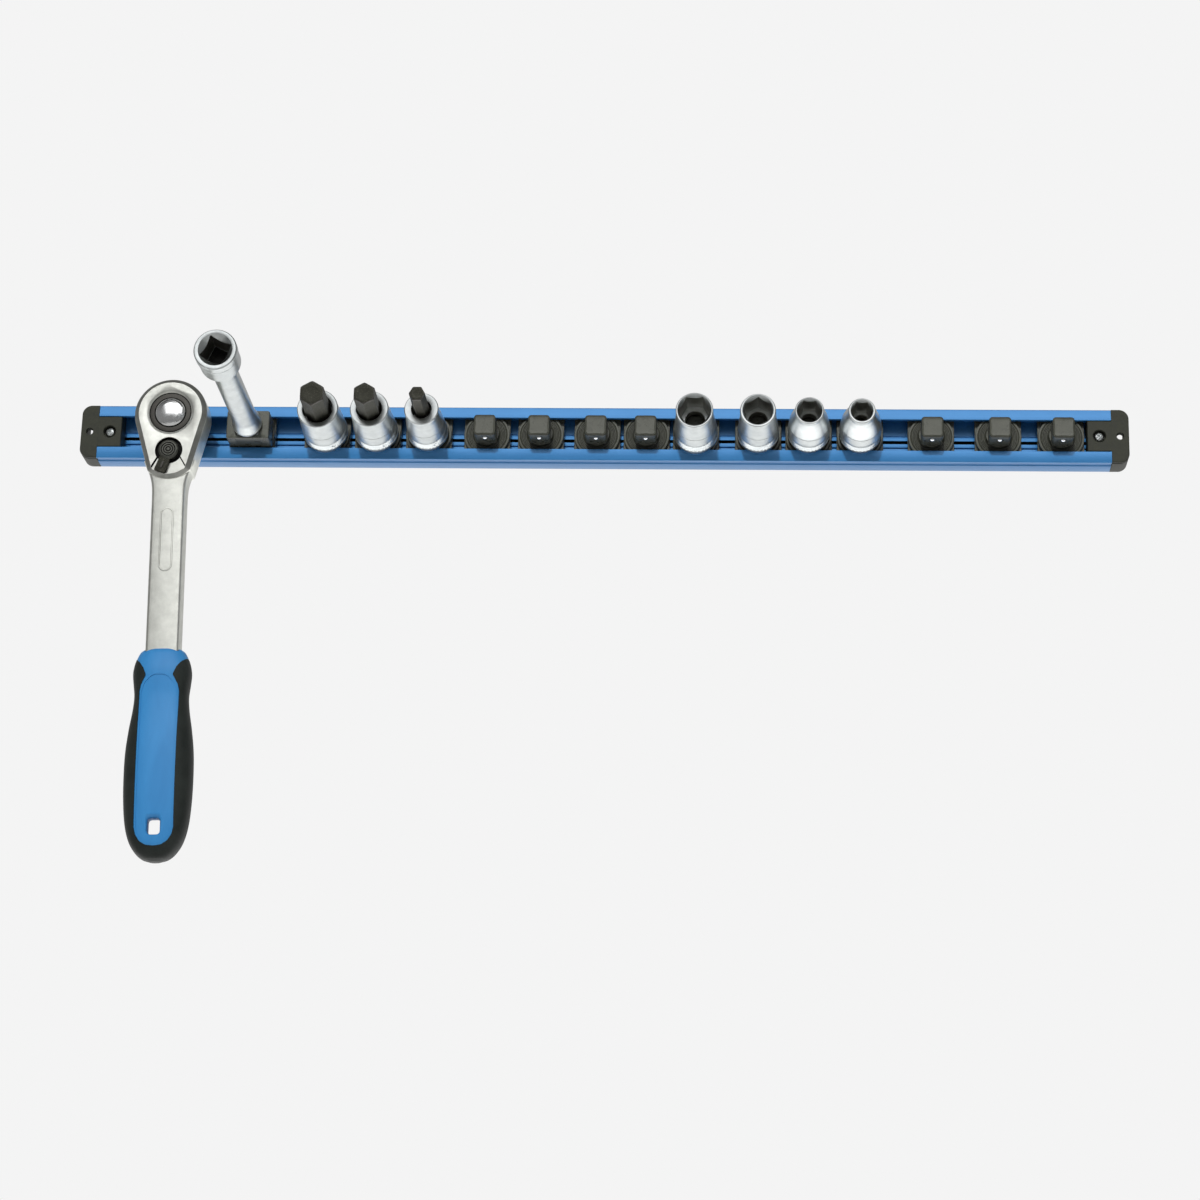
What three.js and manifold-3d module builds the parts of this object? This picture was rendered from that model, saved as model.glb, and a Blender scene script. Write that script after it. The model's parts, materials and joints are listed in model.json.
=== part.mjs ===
// Wall rail with half-inch-drive tools: a C-section rail with end caps, sliding clips, hex sockets,
// hex-bit sockets, an extension bar and a reversible ratchet hanging from its head.
// Millimetres. X runs along the rail, +Y into the wall, +Z up. The origin is the middle of the
// rail's back face. A height h above the wall is the world coordinate Y = -h.
import * as THREE from "three";
import { mergeVertices } from "three/addons/utils/BufferGeometryUtils.js";
import Module from "manifold-3d";

const wasm = await Module();
wasm.setup();

// ---- driving dimensions -------------------------------------------------------------------
const RAIL = { length: 580, width: 32, depth: 15.5, lipIn: 9.4, lipThick: 2.5, wall: 2, floor: 3 };
const CAP = { outer: 10, tongue: 13.4, corner: 5.5, screwX: 283.3, holeX: 295, holeR: 1.9 };
const PLATE = { long: 26.4, wide: 26.8, low: 6, high: 9.5 };
const DISC = { r: 13.1, high: 12.6 };
const BOSS = { r: 7.2, high: 15.3 };
const POST = { side: 12.4, high: 29, ballH: 23.3 };
const BALL = { r: 1.6, proud: 0.6 };
const BLOCK = { x: 24.4, z: 16.8, high: 27.5, hole: 13, recessR: 8, recessDeep: 1.7, holeLow: 9.9 };
const SQUARE = 12.4;
const DRIVE_HOLE = 12.9;
const SOCKET = { low: 15.6, length: 36.8, driveDeep: 15.4 };
const HEAD = { low: 27.8, thick: 18.2, r: 20.6, bevel: 2.6, bevelDeep: 2.4, leverZ: -23.1 };
const LEAN = 1.8;

const CLIP_X = [
  -242.3, -201, -157.5, -128.2, -98.7, -65.1, -34.2, -1.8, 26.5, 54.8, 90.3, 119, 148.2, 188.6,
  226.6, 262.1,
];
const BLOCK_CLIPS = [1, 2];
const BIT_SOCKETS = [
  { clip: 3, af: 13, turn: 30, base: 12.9, rim: 11.6, recess: 8.5 },
  { clip: 4, af: 11.5, turn: 30, base: 12.6, rim: 10.9, recess: 7.2 },
  { clip: 5, af: 8, turn: 0, base: 11.8, rim: 9.7, recess: 5.65 },
];
const HEX_SOCKETS = [
  { clip: 10, af: 16, turn: 0, base: 12.7, rim: 10.55, hole: 5.6, nose: false },
  { clip: 11, af: 14.5, turn: 30, base: 12, rim: 10.05, hole: 5.4, nose: false },
  { clip: 12, af: 12, turn: 0, base: 11.9, rim: 8.15, hole: 4.4, nose: true },
  { clip: 13, af: 10.5, turn: 0, base: 11.9, rim: 7.6, hole: 3.9, nose: true },
];
const BIT_LENGTH = 59.8;

// ---- materials ------------------------------------------------------------------------------
const finish = (color, roughness, metalness) =>
  new THREE.MeshStandardMaterial({ color, roughness, metalness });
const BLUE_METAL = () => finish(0x5b8fd0, 0.5, 0.3);
const BLACK_PLASTIC = () => finish(0x33332f, 0.7, 0);
const SATIN_CHROME = () => finish(0xc4c9cb, 0.35, 1);
const BRIGHT_CHROME = () => finish(0xe4e6e8, 0.12, 1);
const BLACK_STEEL = () => finish(0x2c2b28, 0.55, 0.6);
const GREY_STEEL = () => finish(0x6b6863, 0.45, 0.8);
const BLUE_PLASTIC = () => finish(0x3e84cf, 0.45, 0);
const BLACK_RUBBER = () => finish(0x232826, 0.75, 0);
const ZINC = () => finish(0xb8bcc0, 0.3, 1);

// ---- solids ---------------------------------------------------------------------------------
function solid(geometry) {
  let g = geometry;
  g.deleteAttribute("normal");
  g.deleteAttribute("uv");
  g = mergeVertices(g, 1e-5);
  const p = g.attributes.position;
  const tri = Uint32Array.from(g.index.array);
  const [a, b, c] = [new THREE.Vector3(), new THREE.Vector3(), new THREE.Vector3()];
  let volume = 0;
  for (let i = 0; i < tri.length; i += 3) {
    a.fromBufferAttribute(p, tri[i]);
    b.fromBufferAttribute(p, tri[i + 1]);
    c.fromBufferAttribute(p, tri[i + 2]);
    volume += a.dot(b.cross(c));
  }
  if (volume < 0) for (let i = 0; i < tri.length; i += 3) [tri[i], tri[i + 1]] = [tri[i + 1], tri[i]];
  return new wasm.Manifold(
    new wasm.Mesh({ numProp: 3, vertProperties: Float32Array.from(p.array), triVerts: tri })
  );
}

const outline = (points) => new THREE.Shape(points.map(([x, y]) => new THREE.Vector2(x, y)));

// A flat outline in X and Z, standing from height h0 to height h1 above the wall.
function prism(points, h0, h1) {
  const g = new THREE.ExtrudeGeometry(outline(points), { depth: h1 - h0, bevelEnabled: false });
  g.translate(0, 0, h0);
  return solid(g.rotateX(Math.PI / 2));
}

// An outline in Z and h, running along X from x0 to x1.
function bar(points, x0, x1) {
  const g = new THREE.ExtrudeGeometry(outline(points), { depth: x1 - x0, bevelEnabled: false });
  g.translate(0, 0, x0);
  const turn = new THREE.Matrix4().set(0, 0, 1, 0, 0, -1, 0, 0, 1, 0, 0, 0, 0, 0, 0, 1);
  return solid(g.applyMatrix4(turn));
}

// A profile of [radius, h] pairs turned about the Y axis.
function turned(profile, segments) {
  const line = profile.map(([r, h]) => new THREE.Vector2(r, -h));
  return solid(new THREE.LatheGeometry(line, segments));
}

// Rings of [x, h, z] points with equal counts, skinned in order and closed at both ends.
function loft(rings) {
  const n = rings[0].length;
  const xyz = rings.flat().flatMap(([x, h, z]) => [x, -h, z]);
  const tri = [];
  for (let r = 0; r + 1 < rings.length; r++) {
    for (let i = 0; i < n; i++) {
      const [a, b] = [r * n + i, r * n + ((i + 1) % n)];
      tri.push(a, b, a + n, b, b + n, a + n);
    }
  }
  const last = (rings.length - 1) * n;
  for (let i = 1; i + 1 < n; i++) tri.push(0, i + 1, i, last, last + i, last + i + 1);
  const g = new THREE.BufferGeometry();
  g.setAttribute("position", new THREE.Float32BufferAttribute(xyz, 3));
  g.setIndex(tri);
  return solid(g);
}

const rect = (x, z, cut = 0) =>
  cut
    ? [
        [x - cut, -z], [x, -z + cut], [x, z - cut], [x - cut, z],
        [-x + cut, z], [-x, z - cut], [-x, -z + cut], [-x + cut, -z],
      ]
    : [[-x, -z], [x, -z], [x, z], [-x, z]];
const ngon = (r, count, first = 0) =>
  Array.from({ length: count }, (_, i) => {
    const a = first + (i * 2 * Math.PI) / count;
    return [r * Math.cos(a), r * Math.sin(a)];
  });
const hexagon = (af, turn) => ngon(af / Math.sqrt(3), 6, THREE.MathUtils.degToRad(turn));
const round = (r, h0, h1, segments = 24) => prism(ngon(r, segments), h0, h1);
const sphere = (r) => solid(new THREE.OctahedronGeometry(r, 1));

// ---- nodes ----------------------------------------------------------------------------------
const group = new THREE.Group();

function node(name, shape, material) {
  const mesh = shape.getMesh();
  const g = new THREE.BufferGeometry();
  g.setAttribute("position", new THREE.Float32BufferAttribute(mesh.vertProperties, 3));
  g.setIndex(Array.from(mesh.triVerts));
  g.computeVertexNormals();
  const piece = new THREE.Mesh(g, material);
  piece.name = name;
  group.add(piece);
}

// ---- rail and end caps ------------------------------------------------------------------------
const { depth: FACE } = RAIL;
const HALF = RAIL.width / 2;
const UNDER_LIP = FACE - RAIL.lipThick;
const halfRail = [
  [HALF - 0.5, 0], [HALF, 0.5], [HALF, 8.8], [HALF - 0.6, 9.3], [HALF - 0.6, 13], [HALF, 13.5],
  [HALF, FACE - 0.6], [HALF - 0.6, FACE], [HALF - RAIL.wall, FACE], [HALF - RAIL.wall, RAIL.floor],
  [3.9, RAIL.floor], [3.9, RAIL.floor - 0.6], [3.1, RAIL.floor - 0.6], [3.1, RAIL.floor + 0.5],
  [0.9, RAIL.floor + 0.5], [0.9, 1.2],
];
const railOutline = [...halfRail, ...halfRail.map(([z, h]) => [-z, h]).reverse()];
let rail = bar(railOutline, -RAIL.length / 2, RAIL.length / 2);
for (const side of [-1, 1]) {
  rail = rail.subtract(round(1.6, -1, 6, 10).translate([side * CAP.screwX, 0, 0]));
}
node("rail", rail, BLUE_METAL());

// The two lips are part of the same extrusion. They are nodes of their own, meeting the walls face
// to face, so that each one collides as a plain bar and the channel behind it stays open.
const lip = [
  [HALF - RAIL.wall, FACE], [RAIL.lipIn + 0.4, FACE], [RAIL.lipIn, FACE - 0.4],
  [RAIL.lipIn, UNDER_LIP], [HALF - RAIL.wall, UNDER_LIP],
];
const lipBar = (side) =>
  bar(lip.map(([z, h]) => [side * z, h]), -RAIL.length / 2, RAIL.length / 2);
node("rail_lip_upper", lipBar(1), BLUE_METAL());
node("rail_lip_lower", lipBar(-1), BLUE_METAL());

function endCap(side) {
  const inner = RAIL.length / 2 + 0.1;
  const outer = RAIL.length / 2 + CAP.outer;
  const c = CAP.corner;
  const corner = (z) =>
    [0, 22.5, 45, 67.5, 90].map((deg) => {
      const a = THREE.MathUtils.degToRad(deg);
      const [x, dz] = [outer - c + c * Math.cos(a), HALF - c + c * Math.sin(a)];
      return [x, z * dz];
    });
  const shell = [[inner, -HALF], ...corner(-1).reverse(), ...corner(1), [inner, HALF]];
  let cap = prism(shell, 0, FACE);
  cap = cap.subtract(prism(rect(2.9, 12.4, 1.5), -1, FACE - 3.2).translate([inner + 4.9, 0, 0]));
  const reach = RAIL.length / 2 - CAP.tongue;
  const middle = (reach + inner + 1) / 2;
  const half = (inner + 1 - reach) / 2;
  const channel = prism(rect(half, HALF - RAIL.wall - 0.3), RAIL.floor + 0.8, UNDER_LIP - 0.3);
  const tongue = prism(rect(half, RAIL.lipIn - 0.3), UNDER_LIP - 1, FACE - 0.1);
  cap = cap.add(channel.translate([middle, 0, 0])).add(tongue.translate([middle, 0, 0]));
  cap = cap.subtract(round(3.6, 12.4, 20, 16).translate([CAP.screwX, 0, 0]));
  cap = cap.subtract(round(1.7, 0, 20, 10).translate([CAP.screwX, 0, 0]));
  cap = cap.subtract(round(CAP.holeR, 0, 20, 14).translate([CAP.holeX, 0, 0]));
  return side > 0 ? cap : cap.mirror([1, 0, 0]);
}

function capScrew(side) {
  const profile = [[0, 0.6], [1.45, 0.6], [1.45, 12.6], [2.85, 12.6], [2.85, 13.5], [1.9, 14.5], [0, 14.9]];
  let screw = turned(profile, 12);
  for (const angle of [0, 90]) {
    const slot = prism(rect(1.9, 0.4), 13.7, 16);
    screw = screw.subtract(slot.rotate([0, angle + 20, 0]));
  }
  return screw.translate([side * CAP.screwX, 0, 0]);
}

node("end_cap_left", endCap(-1), BLACK_PLASTIC());
node("end_cap_right", endCap(1), BLACK_PLASTIC());
node("cap_screw_left", capScrew(-1), ZINC());
node("cap_screw_right", capScrew(1), ZINC());

// ---- clips --------------------------------------------------------------------------------------
function clipBase() {
  const plate = prism(rect(PLATE.long / 2, PLATE.wide / 2), PLATE.low, PLATE.high);
  return plate.add(round(DISC.r, PLATE.high - 1, DISC.high, 20));
}

function postClip() {
  const side = POST.side / 2;
  const foot = rect(side, side, 1.6).map(([x, z]) => [x, DISC.high, z]);
  const neck = rect(side, side, 1.6).map(([x, z]) => [x, POST.high - 0.9, z]);
  const top = rect(side - 0.8, side - 0.8, 1.3).map(([x, z]) => [x, POST.high, z]);
  const pocket = solid(new THREE.CylinderGeometry(BALL.r + 0.15, BALL.r + 0.15, 4, 8))
    .rotate([90, 0, 0])
    .translate([0, -POST.ballH, -side + 1.6]);
  return clipBase().add(round(BOSS.r, DISC.high - 1, BOSS.high, 14)).add(loft([foot, neck, top]))
    .subtract(pocket);
}

function blockClip() {
  const block = prism(rect(BLOCK.x / 2, BLOCK.z / 2, 0.8), DISC.high - 1, BLOCK.high);
  const hole = prism(rect(BLOCK.hole / 2, BLOCK.hole / 2), BLOCK.holeLow, BLOCK.high + 1);
  const recess = round(BLOCK.recessR, BLOCK.high - BLOCK.recessDeep, BLOCK.high + 1, 20);
  return clipBase().add(block).subtract(hole).subtract(recess);
}

const carriesTool = new Set([...BIT_SOCKETS, ...HEX_SOCKETS].map(({ clip }) => clip));
const number = (i) => String(i).padStart(2, "0");
CLIP_X.forEach((x, index) => {
  const clip = index + 1;
  if (BLOCK_CLIPS.includes(clip)) {
    node(`clip_${number(clip)}`, blockClip().translate([x, 0, 0]), BLACK_PLASTIC());
    return;
  }
  node(`clip_${number(clip)}`, postClip().translate([x, 0, 0]), BLACK_PLASTIC());
  const proud = carriesTool.has(clip) ? 0 : BALL.proud;
  const z = -POST.side / 2 + BALL.r - proud;
  node(`post_ball_${number(clip)}`, sphere(BALL.r).translate([x, -POST.ballH, z]), BRIGHT_CHROME());
});

// ---- sockets --------------------------------------------------------------------------------------
function driveHole() {
  const half = DRIVE_HOLE / 2;
  const hole = prism(rect(half, half), SOCKET.low - 1, SOCKET.low + SOCKET.driveDeep);
  const lead = turned([[0, SOCKET.low - 1], [9.5, SOCKET.low - 1], [7.4, SOCKET.low + 1.1],
    [0, SOCKET.low + 1.1]], 16);
  return hole.add(lead);
}

function socketProfile({ base, rim, nose = false }) {
  const [low, top] = [SOCKET.low, SOCKET.low + SOCKET.length];
  const foot = [[0, low], [base - 0.7, low], [base, low + 0.8]];
  const drop = base - rim;
  const shoulder = nose
    ? [[base, low + 12], [base - 0.19 * drop, low + 19.2], [base - 0.37 * drop, low + 22.8],
      [base - 0.59 * drop, low + 26.1], [base - 0.8 * drop, low + 29.3], [rim + 0.1, low + 32.8]]
    : [[base - 0.28 * drop, low + 9.2], [rim + 0.05, low + 31]];
  return [...foot, ...shoulder, [rim, top - 0.6], [rim - 0.5, top], [0, top]];
}

function hexSocket(spec) {
  const top = SOCKET.low + SOCKET.length;
  const corner = spec.af / Math.sqrt(3);
  const deep = top - 16;
  const mouth = turned([[0, top - 1.6], [corner - 0.9, top - 1.6], [corner + 0.25, top + 0.05],
    [corner + 0.25, top + 1], [0, top + 1]], 20);
  return turned(socketProfile(spec), 20).subtract(driveHole())
    .subtract(round(spec.hole, SOCKET.low + 10, deep + 1, 14))
    .subtract(prism(hexagon(spec.af, spec.turn), deep, top + 1)).subtract(mouth);
}

const BIT_SEAT = SOCKET.low + 18;
const RECESS_FLOOR = SOCKET.low + 25;

function bitSocket(spec) {
  const top = SOCKET.low + SOCKET.length;
  const dimple = round(1.2, 0, 2, 8).rotate([90, 0, 0]).rotate([0, -28, 0]);
  const angle = THREE.MathUtils.degToRad(28);
  const reach = spec.base - 0.6;
  const place = [reach * Math.sin(angle), -(SOCKET.low + 8), -reach * Math.cos(angle)];
  return turned(socketProfile(spec), 20).subtract(driveHole())
    .subtract(prism(hexagon(spec.af + 0.2, spec.turn), BIT_SEAT, top))
    .subtract(round(spec.recess, RECESS_FLOOR, top + 1, 16)).subtract(dimple.translate(place));
}

function hexBit(spec) {
  const ring = (af, h) => hexagon(af, spec.turn).map(([x, z]) => [x, h, z]);
  const tip = SOCKET.low + BIT_LENGTH;
  return loft([ring(spec.af, BIT_SEAT + 0.1), ring(spec.af, tip - 0.7), ring(spec.af - 1.3, tip)]);
}

for (const spec of BIT_SOCKETS) {
  const at = [CLIP_X[spec.clip - 1], 0, 0];
  node(`bit_socket_${number(spec.clip)}`, bitSocket(spec).translate(at), SATIN_CHROME());
  node(`hex_bit_${number(spec.clip)}`, hexBit(spec).translate(at), BLACK_STEEL());
}
for (const spec of HEX_SOCKETS) {
  const at = [CLIP_X[spec.clip - 1], 0, 0];
  node(`socket_${number(spec.clip)}`, hexSocket(spec).translate(at), SATIN_CHROME());
}

// ---- extension bar ----------------------------------------------------------------------------------
const EXT = { foot: 26.1, rim: 136.8, squareLow: 11.4, turn: 25, ballH: 18.5 };

function squareWithPocket(low, high, ballH, ballR) {
  const half = SQUARE / 2;
  const ring = (s, cut, h) => rect(s, s, cut).map(([x, z]) => [x, h, z]);
  const stem = loft([ring(half - 0.9, 1, low), ring(half, 1, low + 0.9), ring(half, 1, high)]);
  const pocket = solid(new THREE.CylinderGeometry(ballR + 0.15, ballR + 0.15, 6, 8))
    .rotate([90, 0, 0]).translate([0, -ballH, -half + 2.2]);
  return stem.subtract(pocket);
}

function extensionBar() {
  const profile = [[0, EXT.foot], [7.2, EXT.foot], [8.4, 29.4], [8.4, 31.6], [7.3, 39], [7, 45],
    [7, 115], [7.6, 116.5], [10.6, 117.6], [11.2, 118.6], [11.3, 129.8], [11.8, 131.5],
    [11.8, 136.2], [11.2, EXT.rim], [0, EXT.rim]];
  const square = rect(DRIVE_HOLE / 2, DRIVE_HOLE / 2);
  const hole = prism(square, EXT.rim - 16, EXT.rim + 1).rotate([0, EXT.turn, 0]);
  const mouth = turned([[0, EXT.rim - 3], [6.6, EXT.rim - 3], [9.35, EXT.rim + 0.02],
    [9.35, EXT.rim + 1], [0, EXT.rim + 1]], 20);
  return turned(profile, 20).add(squareWithPocket(EXT.squareLow, EXT.foot + 0.5, EXT.ballH, BALL.r))
    .subtract(hole).subtract(mouth);
}

const extensionAt = [CLIP_X[1], 0, 0];
node("extension_bar", extensionBar().translate(extensionAt), SATIN_CHROME());
node("extension_ball", sphere(BALL.r).translate([CLIP_X[1], -EXT.ballH, -SQUARE / 2 + BALL.r - 0.1]),
  BRIGHT_CHROME());

// ---- ratchet ------------------------------------------------------------------------------------------
// Built with the drive axis on the Y axis and the handle along -Z; k counts up from the head's back.
const K = (k) => HEAD.low + k;
const PIVOT = [0, HEAD.leverZ];
const SHANK = { half: 9.3, low: 3, high: 15.2, end: -141 };
const HANDLE_MID = K(9);

function teardrop(r, endR) {
  const points = [];
  for (let deg = 195; deg >= -15; deg -= 10) {
    const a = THREE.MathUtils.degToRad(deg);
    points.push([r * Math.cos(a), r * Math.sin(a)]);
  }
  const a = THREE.MathUtils.degToRad(-15);
  const [px, pz] = [r * Math.cos(a), r * Math.sin(a)];
  const [dx, dz] = [Math.sin(a), -Math.cos(a)];
  const [qx, qz] = [px - PIVOT[0], pz - PIVOT[1]];
  const b = qx * dx + qz * dz;
  const t = -b + Math.sqrt(b * b - (qx * qx + qz * qz - endR * endR));
  const start = Math.atan2(qz + t * dz, qx + t * dx);
  const steps = 8;
  for (let i = 0; i <= steps; i++) {
    const e = start + ((-Math.PI - 2 * start) * i) / steps;
    points.push([PIVOT[0] + endR * Math.cos(e), PIVOT[1] + endR * Math.sin(e)]);
  }
  return points;
}

function ratchetBody() {
  const at = (points, k) => points.map(([x, z]) => [x, K(k), z]);
  const outer = teardrop(HEAD.r, 16.4);
  const back = teardrop(HEAD.r - 0.8, 15.6);
  const front = teardrop(HEAD.r - HEAD.bevel, 14.3);
  const head = loft([at(back, 0), at(outer, 0.8), at(outer, HEAD.thick - HEAD.bevelDeep),
    at(front, HEAD.thick)]);
  const widths = [[-30, 12], [-34, 11.3], [-38, 10.6], [-42, 9.8], [-46, 9.4], [-52, SHANK.half],
    [SHANK.end, SHANK.half]];
  const shankRing = ([z, half]) => {
    const cut = 1.8;
    const [low, high] = [K(SHANK.low), K(SHANK.high)];
    return [[-half + cut, low, z], [half - cut, low, z], [half, low + cut, z], [half, high - cut, z],
      [half - cut, high, z], [half * 0.4, high + 0.35, z], [-half * 0.4, high + 0.35, z],
      [-half + cut, high, z], [-half, high - cut, z], [-half, low + cut, z]];
  };
  const shank = loft(widths.map(shankRing));
  const tang = prism(rect(5.5, 30), K(5), K(13)).translate([0, 0, SHANK.end - 28]);
  const [badgeTop, badgeEnd, badgeR] = [-56.5, -94.5, 3.9];
  const badge = [];
  for (let deg = 0; deg <= 180; deg += 22.5) {
    const a = THREE.MathUtils.degToRad(deg);
    badge.push([badgeR * Math.cos(a), badgeTop - badgeR + badgeR * Math.sin(a)]);
  }
  for (let deg = 180; deg <= 360; deg += 22.5) {
    const a = THREE.MathUtils.degToRad(deg);
    badge.push([badgeR * Math.cos(a), badgeEnd + badgeR + badgeR * Math.sin(a)]);
  }
  const pocket = [[-8.5, -11], [8.5, -11], [6.2, -24], [4.6, -28.6], [-4.6, -28.6], [-6.2, -24]];
  const fan = [[-6.2, -27.4], [-9.8, -33.9], [-9.4, -36.4], [-5.5, -38.6], [0, -39.6], [5.5, -38.6],
    [9.4, -36.4], [9.8, -33.9], [6.2, -27.4]];
  const mouth = turned([[0, K(15)], [11.9, K(15)], [11.9, K(16.9)], [13.4, K(HEAD.thick) + 0.02],
    [13.4, K(20)], [0, K(20)]], 24);
  return head.add(shank).add(tang).add(prism(badge, K(14), K(15.85)))
    .subtract(prism(teardrop(16.9, 11.7), K(-1), K(2.2)))
    .subtract(round(14.4, K(1), K(14.6), 24)).subtract(prism(pocket, K(1), K(14.6)))
    .subtract(mouth).subtract(round(11.9, K(14), K(16), 24))
    .subtract(round(7.6, K(16), K(20), 24).translate([0, 0, HEAD.leverZ]))
    .subtract(prism(fan, K(17), K(20)))
    .subtract(round(3, K(14), K(17), 16).translate([0, 0, HEAD.leverZ]))
    .subtract(round(1.25, K(0), K(8), 8).translate([9.2, 0, -21]))
    .subtract(round(1.25, K(0), K(8), 8).translate([-9.2, 0, -21]));
}

function coverPlate() {
  return prism(teardrop(16.7, 11.5), K(0.1), K(2.1)).subtract(round(10.3, K(-1), K(3), 20))
    .subtract(round(2.2, K(-1), K(1.2), 8).translate([9.2, 0, -21]))
    .subtract(round(2.2, K(-1), K(1.2), 8).translate([-9.2, 0, -21]))
    .subtract(round(1.25, K(0), K(3), 8).translate([9.2, 0, -21]))
    .subtract(round(1.25, K(0), K(3), 8).translate([-9.2, 0, -21]));
}

function coverScrew(side) {
  const screw = turned([[0, K(0.2)], [2, K(0.2)], [2, K(1.1)], [1.1, K(1.1)], [1.1, K(6.5)], [0, K(6.5)]], 8);
  return screw.translate([side * 9.2, 0, -21]);
}

const GEAR_TEETH = 36;
function driveGear() {
  const teeth = [];
  for (let i = 0; i < GEAR_TEETH; i++) {
    const step = (2 * Math.PI) / GEAR_TEETH;
    for (const [r, f] of [[12.8, 0], [13.6, 0.5]]) {
      const a = -Math.PI / 2 + (i + f - 0.5) * step;
      teeth.push([r * Math.cos(a), r * Math.sin(a)]);
    }
  }
  const hub = turned([[0, K(13)], [11.6, K(13)], [11.6, K(17.1)], [11.2, K(17.5)], [0, K(17.5)]], 24);
  return prism(teeth, K(2.4), K(14.2)).add(hub).add(round(10, K(0), K(3), 20))
    .add(squareWithPocket(K(-15.3), K(0.5), K(-8), 2))
    .subtract(round(8.75, K(13.2), K(18), 20)).subtract(round(1.5, K(-12.6), K(14), 8));
}

function releaseButton() {
  const profile = [[0, K(-10)], [1.2, K(-10)], [1.2, K(15.4)], [8.5, K(15.4)], [8.5, K(17.6)],
    [7.9, K(18.5)], [6, K(19.4)], [3.2, K(19.9)], [0, K(20.1)]];
  return turned(profile, 20);
}

const LEVER_ANGLE = 20;
function leverAndArm() {
  const hub = turned([[0, K(3.2)], [2.8, K(3.2)], [2.8, K(16.3)], [5.75, K(16.3)], [5.75, K(19.6)],
    [5.1, K(20.2)], [0, K(20.2)]], 16);
  const arm = prism([[-2.9, 0], [-3.1, -4.5], [-3.4, -14], [-2.9, -14.6], [2.9, -14.6], [3.4, -14],
    [3.1, -4.5], [2.9, 0]], K(17.3), K(19.3));
  const ridge = prism([[-0.6, -7.5], [-0.6, -11.8], [0.6, -11.8], [0.6, -7.5]], K(19), K(19.8));
  return hub.add(arm).add(ridge).rotate([0, LEVER_ANGLE, 0]).translate([0, 0, HEAD.leverZ]);
}

function pawl() {
  const face = [[-5.04, 8.98], [5.04, 8.98], [5.6, 7.2], [4.6, 2], [4.1, -2.4], [2.4, -4.1],
    [-2.4, -4.1], [-4.1, -2.4], [-4.6, 2], [-5.6, 7.2]];
  return prism(face, K(2.6), K(14.2)).subtract(round(3, K(2), K(15), 16))
    .rotate([0, LEVER_ANGLE / 2, 0]).translate([0, 0, HEAD.leverZ]);
}

// Handle: stations along the grip, as [z, half width, half thickness].
const STATIONS = [
  [-139.7, 11.2, 7.4], [-141, 12.7, 8.4], [-144.5, 14.4, 9.5], [-148.5, 15.6, 10.4],
  [-153, 16.2, 10.8], [-159, 15.7, 10.6], [-166, 15, 10.3], [-174, 15.6, 10.6], [-185, 17.3, 11.3],
  [-198, 18.7, 11.9], [-212, 19, 12], [-226, 18.6, 11.8], [-239, 17.3, 11.1], [-248, 14.9, 9.9],
  [-254, 11.4, 8], [-257.6, 7.4, 5.6], [-259.2, 3, 2.4],
];
function handleForm(shrinkK) {
  const ring = ([z, a, b]) =>
    Array.from({ length: 16 }, (_, i) => {
      const t = (i * 2 * Math.PI) / 16;
      const [c, s] = [Math.cos(t), Math.sin(t)];
      const power = 0.8;
      const x = a * Math.sign(c) * Math.abs(c) ** power;
      const k = (b - shrinkK) * Math.sign(s) * Math.abs(s) ** power;
      return [x, HANDLE_MID + k, z];
    });
  return loft(STATIONS.map(ring));
}

// Outline of the hard core where it shows: a collar, a neck between two lobes and a long panel.
function coreOutline(gap) {
  const right = [
    [30, -130], [30, -142], [14.6, -144.6], [11.6, -147.5], [9.2, -151], [7.4, -155.5],
    [8.8, -158.2], [10.2, -161], [10.9, -164.5], [10.8, -241.5], [9.9, -245.6], [7.6, -249.2],
    [4.2, -251.3], [0, -251.9],
  ].map(([x, z]) => [x + gap, z - gap * (z < -240 ? 1 : 0)]);
  const left = right.slice(0, -1).reverse().map(([x, z]) => [-x, z]);
  return [...right, ...left];
}

function handleCore() {
  const tangHole = prism(rect(5.7, 30.5), K(4.8), K(13.2)).translate([0, 0, SHANK.end - 28]);
  const shankHole = prism(rect(SHANK.half + 0.15, 10), K(SHANK.low - 0.15), K(SHANK.high + 0.5))
    .translate([0, 0, SHANK.end + 9.9]);
  const hang = [[3.5, 3.1], [2.3, 4.5], [-2.3, 4.5], [-3.5, 3.1], [-3.5, -3.1], [-2.3, -4.5],
    [2.3, -4.5], [3.5, -3.1]];
  const hangZ = -241.2;
  // The hanging hole is a short throat near the front, with a deep flared recess behind it.
  const flare = (rows) =>
    loft(rows.map(([sx, sz, up, k]) =>
      hang.map(([x, z]) => [x * sx, HANDLE_MID + k, hangZ + up + z * sz])));
  const dish = flare([[0.99, 0.99, 0, 8.2], [1.12, 1.12, 0, 9.4], [1.45, 1.45, 0, 10.7], [2, 2, 0, 14]]);
  const recess = flare([[0.99, 0.99, 0, 4], [2.05, 1.85, 1.8, -10.4], [2.3, 2, 2, -14]]);
  return handleForm(0.55).intersect(prism(coreOutline(0), K(-12), K(30)))
    .subtract(tangHole).subtract(shankHole)
    .subtract(prism(hang.map(([x, z]) => [x, z + hangZ]), K(-12), K(30)))
    .subtract(dish).subtract(recess);
}

const handleGrip = () => handleForm(0).subtract(prism(coreOutline(0.08), K(-12), K(30)));

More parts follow.
